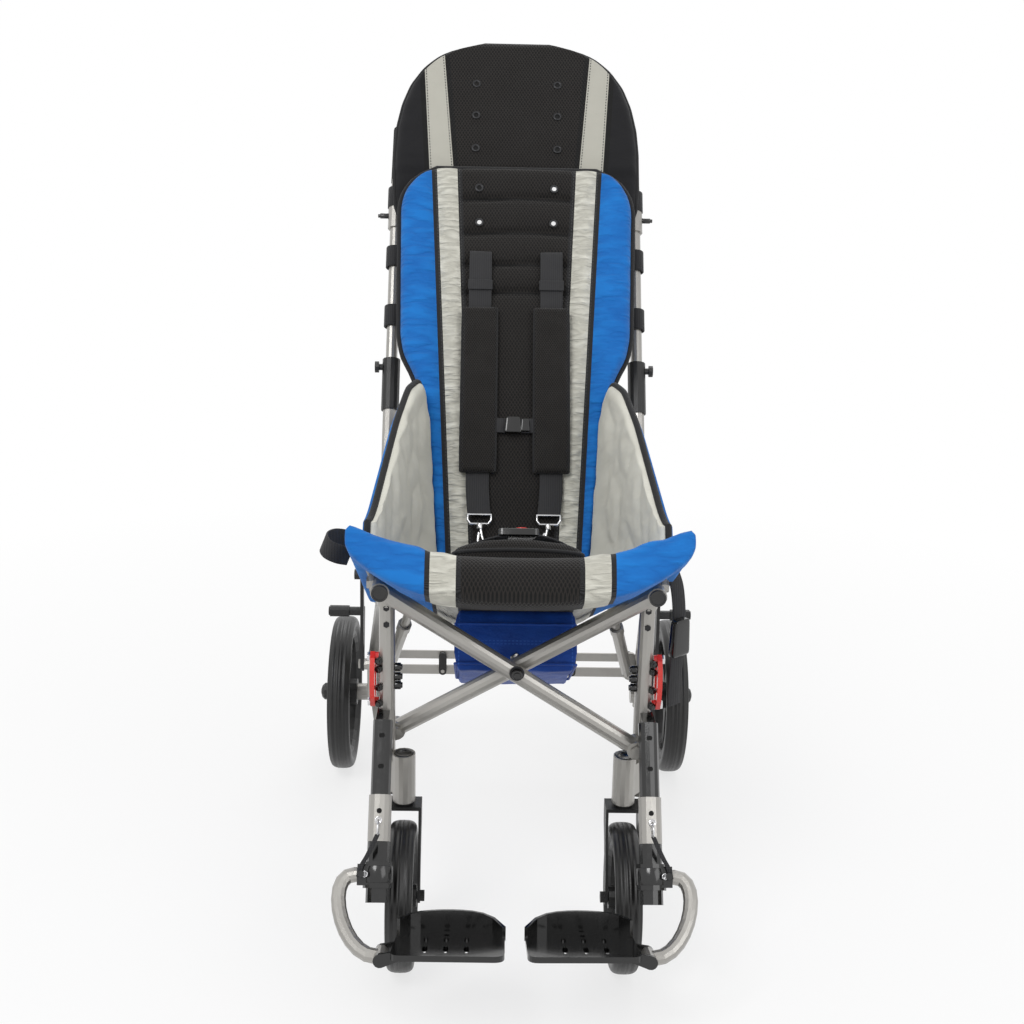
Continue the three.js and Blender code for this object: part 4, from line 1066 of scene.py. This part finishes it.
def wing_layout(made, point, x, y, z):
    share = ((232.0 - y) / 218.0).most(0.0001)
    outside = abs(x).over(share.math("POWER", 0.75) * 64.0 + 129.5)
    grey, grey_height = grey_cloth(made, point, y, z, 0.35)
    blue, blue_height = blue_cloth(made, point, y, z)
    colour, height = layered(made, (grey, grey_height), (outside, blue, blue_height))
    return colour, height


WING_CLOTH = cloth("hip_cloth", wing_layout)
for word, sign in SIDES:
    cover(f"hip_cover_{word}", WING_CLOTH, (72, 72), wing_rule(sign), "fabric_grey",
          body=f"seat_{word}", rides=True, replaced=f"hip_guide_{word}", fill=0.6)
    upper = [(*wing_spine(t, soft_table(WING_TOP, t, 0.03)), soft_table(WING_TOP, t, 0.03))
             for t in [k / 40 for k in range(41)]]
    lower = [(*wing_spine(t, wing_low(t)), wing_low(t) + 1) for t in [k / 20 for k in range(20, -1, -1)]]
    rim_points = [seat_point(sign * x, y, z) for x, y, z in upper + lower]
    binding(f"hip_binding_{word}", rim_points, 4.6, f"seat_{word}", rides=True)

# %% [markdown]
# ## Harness
# Two shoulder straps come through slots in the back. Each has a long mesh-covered pad over its webbing, a
# chest strap with a side-release buckle joins them, and each ends in a bright snap hook on a flat eye.


# %% Webbing and pads
def webbing_layout(made, point, x, y, z):
    ribs = ((z + y) * (TAU / 1.6)).sine() * 0.5 + 0.5
    lines = (x * (TAU / 3.2)).sine() * 0.5 + 0.5
    colour = made.mix((0.006, 0.006, 0.007), (0.04, 0.04, 0.043), ribs * 0.6 + lines * 0.3)
    return colour, ribs * 0.2 + lines * 0.12


def pad_layout(made, point, x, y, z):
    return mesh_cloth(made, point, x, z, 3.6)


WEBBING = cloth("webbing", webbing_layout, 0.62, 0.05)
PAD_CLOTH = cloth("strap_mesh", pad_layout, 0.8, 0.03)


def strap(name, points, side, width, thickness=0.0022, **worn):
    """Webbing through points in the seat's millimetres."""
    run = rounded([seat_point(*point) for point in points])
    dress(ribbon(name, WEBBING, run, side, width, thickness), "webbing_black", **worn)


STRAP_X = 54
PAD_LOW, PAD_HIGH = 213, 470
PAD_HALF = 26


def strap_pad_rule(middle_x):
    def rule(u, v, side):
        z = lerp(PAD_LOW, PAD_HIGH, v)
        x = middle_x + u * PAD_HALF + 1.2 * ripple(0, middle_x, z, 50)
        full = min(rim(PAD_HALF * (1 - abs(u)), 8), rim(z - PAD_LOW + 1, 6), rim(PAD_HIGH + 1 - z, 6))
        thick = (7.4 + 1.2 * ripple(u * 20, middle_x, z, 22)) * full
        return x, 247.6 - max(0.8, thick) if side else 247.6 + max(0.8, 6.0 * full), z
    return rule


for word, sign in SIDES:
    middle_x = sign * STRAP_X
    cover(f"shoulder_pad_{word}", PAD_CLOTH, (20, 70), strap_pad_rule(middle_x), "webbing_black",
          angle=60, replaced=f"shoulder_strap_{word}", fill=0.5)
    rising = [(-1, PAD_LOW + 2 + k * 25.3) for k in range(11)]
    falling = [(1, PAD_HIGH - 2 - k * 25.3) for k in range(11)]
    edge_points = [seat_point(middle_x + side * PAD_HALF, 246.5, z) for side, z in rising + falling]
    binding(f"pad_binding_{word}", edge_points, 1.8)
    upper_run = [(middle_x, y, z) for y, z in (
        (252.4, 466), (250.6, 490), (250.4, 530), (251.5, 556), (257, 566), (266, 568),
    )]
    lower_run = [
        (middle_x, 251.4, 218), (middle_x, 249.8, 190), (middle_x * 0.96, 248.5, 160),
        (middle_x * 0.93, 247.0, 148),
    ]
    for place, run in (("upper", upper_run), ("lower", lower_run)):
        strap(f"shoulder_web_{place}_{word}", run, (1, 0, 0), 0.034)
    strap(f"strap_keeper_{word}", [(middle_x, 247.4, 500), (middle_x, 247.6, 516)], (1, 0, 0), 0.037, 0.002)

print("harness straps made")

# %% [markdown]
# ## Buckles and hooks
# A buckle is a flat block with soft edges that tapers to one end, and the chest strap's has two halves, a
# wide body and narrower prongs. The hooks are bent from bright rod: an eye for the webbing, a swivel, and
# a hooked end that closes on the belt.


# %% Buckles and hooks
def side_buckle(name, middle, across, up, width, height, depth):
    """A side-release buckle lying in the plane of across and up."""
    clear()
    bpy.ops.mesh.primitive_cube_add(size=1)
    piece = fresh(name, GLOSS)
    for vertex in piece.data.vertices:
        taper = 0.82 if vertex.co.y > 0 else 1.0
        vertex.co.x *= taper
    modify(piece, "BEVEL", width=0.12, segments=3, limit_method="NONE")
    out = Vector(across).cross(Vector(up)).normalized()
    turn = Matrix((Vector(across).normalized(), Vector(up).normalized(), out)).transposed().to_4x4()
    size = Matrix.Diagonal((width, height, depth, 1))
    piece.matrix_world = Matrix.Translation(middle) @ turn @ size
    return settle(piece, 40)


CHEST_Y, CHEST_Z = 247.0, 285
half_gap = STRAP_X - 24
chest_run = [
    seat_point(x, CHEST_Y + 0.6 * math.cos(x / 9), CHEST_Z) for x in range(-half_gap - 3, half_gap + 4, 3)
]
dress(ribbon("chest_web", WEBBING, chest_run, up_back, 0.022, 0.0022), "webbing_black",
      replaced="chest_strap")
for part, x, width, height, depth in (("body", -2.5, 25, 24, 8), ("prongs", 15.5, 13, 19, 6)):
    buckle = side_buckle(f"chest_buckle_{part}", seat_point(x, CHEST_Y - 3.5, CHEST_Z), (1, 0, 0), up_back,
                         width * MM, height * MM, depth * MM)
    crumple(buckle)
for word, sign in SIDES:
    eye_x = sign * STRAP_X * 0.93
    eye = [(-17, 149), (17, 149), (17, 141), (13, 135), (-13, 135), (-17, 141)]
    loop = wire(f"hook_eye_{word}", CHROME, [seat_point(eye_x + x, 245.5, z) for x, z in eye], 0.0019, True)
    lean = -sign * 9
    hook_run = [seat_point(eye_x + lean * share + shift, y, z) for share, shift, y, z in (
        (0.1, 0, 244, 134), (0.3, 0, 243, 124), (0.6, 0, 242, 112), (1, 3, 241, 100), (1, -2, 240, 93),
        (1, -8, 240, 98), (0.6, -7, 241, 110), (0.3, -3, 242, 121),
    )]
    hook = wire(f"snap_hook_{word}", CHROME, rounded(hook_run), 0.0021)
    swivel = button(f"hook_swivel_{word}", CHROME, seat_point(eye_x + lean * 0.1, 244, 131), up_back,
                    0.0045, 0.008, 16)
    for piece in (loop, hook, swivel):
        crumple(piece)

# %% [markdown]
# ## Pommel pad and belt
# A flat oval pad lies on the front of the seat between the thighs, and the belt's red release button
# shows in its middle.

# %% Pommel pad
POMMEL_LOW = 11.5
POMMEL_MIDDLE = 38.25
POMMEL_X, POMMEL_Y, POMMEL_CENTRE = 82, 32, 4


def pommel_rule(u, v, side):
    w = 2 * v - 1
    across, along = u * math.sqrt(1 - w * w / 2), w * math.sqrt(1 - u * u / 2)
    x, y = POMMEL_X * across, POMMEL_CENTRE + POMMEL_Y * along
    full = rim(1 - math.hypot(across, along), 0.3)
    rise = (11 + 4 * (1 - across * across) + 1.5 * ripple(x, y, 2, 25)) * full
    drop = (POMMEL_MIDDLE - POMMEL_LOW) * full
    return x, y, POMMEL_MIDDLE + max(0.8, rise) if side else POMMEL_MIDDLE - max(0.8, drop)


cover("pommel_cover", PAD_CLOTH, (60, 40), pommel_rule, "mesh_black", angle=60, replaced="pommel_pad",
      fill=0.6)
strap("belt_web", [
    (-92, 40, 22), (-70, 30, 48), (-20, 6, 60.5), (30, 6, 60.5), (72, 30, 48), (94, 40, 22),
], along_seat, 0.03, 0.0024)
brim = [seat_point(POMMEL_X * math.cos(a), POMMEL_CENTRE + POMMEL_Y * math.sin(a), POMMEL_MIDDLE)
        for a in [k * TAU / 48 for k in range(48)]]
binding("pommel_binding", brim, 2.6)
release = side_buckle("belt_buckle", seat_point(0, 4, 65), (1, 0, 0), along_seat, 0.052, 0.034, 0.01)
press = button("belt_button", RED, seat_point(4, 2, 70.5), up_back, 0.0085, 0.003)
for piece, slot in ((release, "black_gloss"), (press, "ring_red")):
    crumple(piece)

# %% [markdown]
# ## Bag under the seat
# A coated blue bag hangs under the seat. It is a soft shell: its sides draw in between the seams, its
# bottom sags, and a piped seam runs round it near the top and near the bottom.


# %% Under-seat bag
def bag_layout(made, point, x, y, z):
    threads = weave(x + y, z, 1.8)
    creases = made.noise(made.stretched(point, 0.03, 0.03, 0.045), 1.0, 5.0, 0.6)
    # Painted shade: the blue darkens where the crease noise is low, in the valleys that the bump sinks.
    colour = made.mix((0.001, 0.022, 0.17), (0.006, 0.075, 0.42), (creases * 1.1 + threads * 0.15).kept())
    seam = stitches(abs(z + 60.0) - 2.0, x).most(stitches(abs(x) - 74.0, z))
    colour = made.mix(colour, (0.02, 0.10, 0.45), seam)
    return colour, threads * 0.12 + creases * 3.0


BAG_CLOTH = cloth("bag_cloth", bag_layout, 0.5, swing=0.15)
BAG_TOP, BAG_BOTTOM = -17, -96
BAG_FRONT, BAG_REAR = 89, 250


def bag_rule(u, v, side):
    x = u * 80
    y = lerp(BAG_FRONT, BAG_REAR, v)
    sag = 4 * (1 - u * u) * math.sin(math.pi * v)
    pull_in = 3.5 * math.sin(math.pi * v) * abs(u) ** 6
    full = min(rim(81 - abs(x), 9), rim(y - BAG_FRONT + 1, 9), rim(BAG_REAR + 1 - y, 11))
    folds = 1.8 * ripple(x, y, 4, 26)
    middle = (BAG_TOP + BAG_BOTTOM) / 2
    half = max(5.0, (BAG_TOP - BAG_BOTTOM) / 2 * full)
    z = middle + half if side else middle - half + (folds - sag) * full
    return x - math.copysign(pull_in, x), y, z


cover("bag_shell", BAG_CLOTH, (60, 54), bag_rule, "fabric_navy", angle=60, replaced="under_seat_bag")
corners = [(-79, 94), (-74, 89), (74, 89), (79, 94), (79, 245), (74, 250), (-74, 250), (-79, 245)]
for number, z in enumerate((-36, -88)):
    hem = wire(f"bag_hem_{number}", BAG_CLOTH, [seat_point(x, y, z) for x, y in corners], 1.9 * MM, True)
    dress(hem, "fabric_navy")
for word, sign in SIDES:
    strap(f"bag_hanger_{word}", [
        (sign * 79, 180, -52), (sign * 84, 180, -38), (sign * 98, 180, -24), (sign * 118, 180, -10),
    ], along_seat, 0.025)

# %% [markdown]
# ## Eyelets
# Black metal eyelets are pressed through the mesh. Each is a rolled ring over a near-black disc that paints
# the shade in the hole, and in the back a pale disc in some holes paints the white ground behind.

# %% Eyelets
# Painted hole discs: the near-black one is painted shade, the pale one the white ground seen through.
HOLE_SHADE = hard("hole_shade", (0.0015, 0.0015, 0.0015), 0.9, 900.0, 0.0001)
HOLE_LIGHT = hard("hole_light", (0.85, 0.85, 0.85), 0.9, 900.0, 0.0001)
BACK_EYELETS = [(58, 672), (57, 614)]
HEAD_EYELETS = [(65, 874), (65, 818), (65, 760)]
EYELETS = (("back", BACK_EYELETS, 254.5, "seat_left"), ("head", HEAD_EYELETS, 291.5, "back_left"))
for group, spots, y, body in EYELETS:
    for row, (x, z) in enumerate(spots):
        for word, sign in SIDES:
            place = seat_point(sign * x, y, z)
            rolled = ring(f"{group}_eyelet_{row}_{word}", BLACK_STEEL, place, along_seat, 0.0052, 0.0017, 0.7)
            seen_through = group == "back" and (row or sign > 0)
            hole = HOLE_LIGHT if seen_through else HOLE_SHADE
            painted_hole = button(f"{group}_eyelet_hole_{row}_{word}", hole, place + along_seat * 0.0006, -along_seat,
                          0.0040, 0.001, 16)
            for piece in (rolled, painted_hole):
                crumple(piece, body)

# %% [markdown]
# ## Wraps on the canes
# Hook-and-loop tabs wrap the canes and hold the back cover to them. A short pin stands out of each
# telescoping cane.

# %% Wraps and cane pins
CANE_X, CANE_Y, WRAP_RADIUS = 190, 322, 12.5
for word, sign in SIDES:
    for row, z in enumerate((684, 582, 483)):
        around = []
        for k in range(15):
            angle = math.radians(-150 + k * 300 / 14)
            around.append(seat_point(sign * (CANE_X + WRAP_RADIUS * math.cos(angle)),
                                     CANE_Y - WRAP_RADIUS * math.sin(angle), z))
        tab = [seat_point(sign * 168, 300, z), seat_point(sign * 174, 306, z)]
        wrap = ribbon(f"cane_wrap_{row}_{word}", WEBBING, tab + around, up_back, 0.034, 0.0024)
        dress(wrap, "webbing_black", f"seat_{word}", rides=True)
    pin = button(f"cane_pin_{word}", GLOSS, seat_point(sign * (CANE_X + 18), CANE_Y, 654), (sign, 0, 0),
                 0.0042, 0.014, 14, 0.3, 0.25)
    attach(pin, f"back_{word}")

# %% [markdown]
# ## Fasteners of the frame
# A through bolt joins the two arms of the cross-brace where they pass. Screws hold the stretcher, the
# rings and the clamps, and black caps close the open tube ends.

# %% Brace bolt, end caps and screws
SHIFT_Y = HINGE.y / MM - 60


def frame_point(x, y, z):
    """A point measured from the caster axle, in millimetres, x to the right."""
    return Vector((x, y + SHIFT_Y, z)) * MM


def fasten(piece, body):
    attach(piece, body)


BRACE_CROSS_Z = 396
for name, finish, y, facing, radius, height, sides, inset, sink, body in (
    ("bolt", GLOSS, 18.5, -1, 6.8, 9, 24, 0.35, 0.25, "arm_front"),
    ("washer", BLACK_STEEL, 21.4, -1, 9.5, 2, 24, 0.25, -0.15, "arm_front"),
    ("nut", CHROME, 70.5, 1, 8.5, 8, 6, 0.25, -0.15, "arm_rear"),
):
    fasten(button(f"brace_{name}", finish, frame_point(0, y, BRACE_CROSS_Z), (0, facing, 0), radius * MM,
                  height * MM, sides, inset, sink), body)
for word, sign, body, y in (("right", 1, "arm_rear", 15.4), ("left", -1, "arm_front", 19.9)):
    cap = button(f"brace_cap_{word}", GLOSS, frame_point(sign * 170, y, 500), (0, -1, 0), 0.0105, 0.006, 24)
    fasten(cap, body)
# name, finish, x, y, heights, axis, radius, height, sides, inset, sink and slot, for the right side
SIDE_FASTENERS = (
    ("stretcher_screw", BLACK_STEEL, 206, 598.5, (160, 187), (0, 1), 7.5, 5, 6, 0.25, -0.15, "black_plastic"),
    ("ring_screw", CHROME, 187, 60, (339, 401), (1, 0), 6, 4, 6, 0.25, -0.15, "frame_paint"),
    ("post_nut", GLOSS, 150.5, 60, (387, 374, 362), (-1, 0), 5.5, 8, 12, 0.3, 0.25, "black_gloss"),
    ("ring_bolt", GLOSS, 173.5, 53, (398, 387, 362, 340), (0.4, -1), 4.8, 8, 16, 0.3, 0.3, "black_gloss"),
    ("post_screw", BLACK_STEEL, 164, 49.4, (470, 448, 320), (0, -1), 4.2, 3, 6, 0.25, -0.15, "black_plastic"),
)
for word, sign in SIDES:
    cap = button(f"barrel_cap_{word}", GLOSS, frame_point(sign * 142, 40.5, 273.5), (0, 0, 1), 0.0124, 0.006,
                 28, 0.3, -0.2)
    fasten(cap, f"frame_{word}")
    for name, finish, x, y, heights, axis, radius, height, sides, inset, sink, slot in SIDE_FASTENERS:
        for row, z in enumerate(heights):
            head = button(f"{name}_{row}_{word}", finish, frame_point(sign * x, y, z),
                          (sign * axis[0], axis[1], 0), radius * MM, height * MM, sides, inset, sink)
            on_carrier = name == "post_screw" and row == 0
            fasten(head, f"carrier_{word}" if on_carrier else f"frame_{word}")

# %% [markdown]
# ## Leg rests
# Each leg rest has a pull pin with a ring, a safety lanyard from the ring to the clamp, and a clamp with a
# black locking band and a screw.

# %% Leg rest details
LEG_SLOPE = math.radians(33)
LEG_TOP = Vector((166.5, 20, 331))


def leg_point(sign, x, y, down_leg):
    """A point in the axes of the leg tube: x outwards, y behind it, and a distance down the tube."""
    z = -down_leg
    return frame_point(
        sign * (LEG_TOP.x + x),
        LEG_TOP.y + y * math.cos(LEG_SLOPE) + z * math.sin(LEG_SLOPE),
        LEG_TOP.z - y * math.sin(LEG_SLOPE) + z * math.cos(LEG_SLOPE),
    )


down_tube = Vector((0, -math.sin(LEG_SLOPE), -math.cos(LEG_SLOPE)))
out_front = Vector((0, -math.cos(LEG_SLOPE), math.sin(LEG_SLOPE)))


def stud(name, finish, place, radius, height, sides, body):
    """A turned head on the leg rest's front."""
    fasten(button(name, finish, place, out_front, radius * MM, height * MM, sides), body)


for word, sign in SIDES:
    body = f"leg_{word}"
    fasten(ring(f"pin_ring_{word}", CHROME, leg_point(sign, 0, -26, 134), (1, 0, 0), 0.0085, 0.0012), body)
    stud(f"pin_head_{word}", CHROME, leg_point(sign, 0, -22, 124), 4.5, 6, 16, body)
    lanyard = rounded([
        leg_point(sign, 0, -30, 141), leg_point(sign, 5, -27, 152), leg_point(sign, 12, -24, 166),
        leg_point(sign, 19, -20, 178), leg_point(sign, 22, -17, 190),
    ])
    dress(ribbon(f"pin_lanyard_{word}", WEBBING, lanyard, (1, 0, 0), 0.006, 0.0014), "webbing_black", body,
          rides=True)
    # Near-black discs paint the shade inside the holes of the leg tube and of its sleeve.
    for row, at in enumerate((20, 58)):
        stud(f"leg_hole_{row}_{word}", HOLE_SHADE, leg_point(sign, 0, -11.9, at), 3.6, 0.5, 16,
             f"frame_{word}")
    stud(f"sleeve_hole_{word}", HOLE_SHADE, leg_point(sign, 0, -14.2, 112), 3.2, 1.2, 16, body)
    stud(f"clamp_screw_{word}", CHROME, leg_point(sign, 15, -14.5, 187), 4.2, 4, 6, body)
    band = [leg_point(sign, 18.6 * math.cos(a), 18.6 * math.sin(a), 187)
            for a in [math.radians(150 + k * 15) for k in range(13)]]
    fasten(ribbon(f"clamp_band_{word}", GLOSS, band, down_tube, 0.02, 0.0012), body)

# %% [markdown]
# ## Loose straps
# Tie-down webbing hangs at each side of the seat rail: a loop on the left and a strap with a buckle on the
# right.

# %% Side straps
HANG_SIDE = (0.75, 0.65, 0)
strap("side_loop_left", [
    (-202, 70, 62), (-216, 44, 64), (-234, 12, 60), (-243, -10, 50), (-238, -22, 38), (-224, -16, 32),
    (-212, 6, 34),
], up_back + Vector((0.35, 0, 0)), 0.024, body="seat_left", rides=True)
strap("side_strap_right", [
    (202, 66, 36), (209, 64, 10), (211, 66, -30), (208, 74, -80), (205, 86, -120), (206, 96, -138),
], HANG_SIDE, 0.024, body="seat_right", rides=True)
fasten(side_buckle("side_buckle_right", seat_point(211, 66, -54), HANG_SIDE, (0, 0, 1), 0.032, 0.05, 0.011),
       "seat_right")

# %% [markdown]
# ## Studio
# The photograph has a bare white ground. A pale floor keeps the chair's soft shadow, and the world shows
# white to the camera, but lights the chair at a plain level with three large soft lamps.


# %% Floor, world and lamps
def looking_rays(tree):
    """1 for the rays that look at the ground, and 0 for those that carry light to the chair."""
    path = tree.nodes.new("ShaderNodeLightPath")
    kinds = [Reading(tree, path.outputs[f"Is {kind} Ray"]) for kind in ("Camera", "Glossy", "Transmission")]
    return kinds[0].most(kinds[1]).most(kinds[2])


def blend(tree, share, first, second, outlet):
    mixer = tree.nodes.new("ShaderNodeMixShader")
    for slot, source in zip(mixer.inputs, (share.socket, first, second)):
        tree.links.new(source, slot)
    tree.links.new(mixer.outputs[0], outlet)


def white_light(tree, kind, strength):
    made = tree.nodes.new(kind)
    made.inputs["Color"].default_value = (1, 1, 1, 1)
    made.inputs["Strength"].default_value = strength
    return made.outputs[0]


FLOOR_COLOUR = (0.84, 0.84, 0.84)
SEEN_WHITE, CHAIR_LIGHT = 1.0, 0.62
clear()
bpy.ops.mesh.primitive_plane_add(size=16, location=(0, 0, -0.0004))
ground_finish = Finish("pale_ground", FLOOR_COLOUR, 0.9)
tree = ground_finish.tree
east, north, _ = ground_finish.split(ground_finish.point())
from_middle = (east * east + north * north).math("POWER", 0.5)
seen_share = ((from_middle - 0.3) * 0.6).kept() * 0.3 + 0.7
far_share = ((from_middle - 1.1) * 1.2).kept()
blend(tree, seen_share.most(far_share) * looking_rays(tree), ground_finish.shader.outputs[0],
      white_light(tree, "ShaderNodeEmission", SEEN_WHITE), tree.nodes["Material Output"].inputs["Surface"])
fresh("ground", ground_finish.material)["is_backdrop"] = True

world = bpy.context.scene.world or bpy.data.worlds.new("studio")
bpy.context.scene.world = world
world.use_nodes = True
tree = world.node_tree
tree.nodes.clear()
out = tree.nodes.new("ShaderNodeOutputWorld")
blend(tree, looking_rays(tree), white_light(tree, "ShaderNodeBackground", CHAIR_LIGHT),
      white_light(tree, "ShaderNodeBackground", SEEN_WHITE), out.inputs["Surface"])

LAMPS = {
    "key_lamp": ((-1.4, -2.2, 3.2), 1.4, 52),
    "fill_lamp": ((2.2, -2.2, 2.0), 1.8, 20),
    "back_lamp": ((0.4, 2.4, 2.6), 1.6, 24),
}
for name, (place, size, power) in LAMPS.items():
    lamp = bpy.data.lights.new(name, "AREA")
    lamp.size = size
    lamp.energy = power
    lamp_object = bpy.data.objects.new(name, lamp)
    bpy.context.collection.objects.link(lamp_object)
    lamp_object.location = place
    aim = Vector((0, 0, 0.6)) - Vector(place)
    lamp_object.rotation_euler = aim.to_track_quat("-Z", "Y").to_euler()

# %% Sizes and the end
dressed_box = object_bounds()
for label, box in (("cad box", cad_box), ("dressed", dressed_box)):
    print(label, [[round(v, 3) for v in corner] for corner in box])
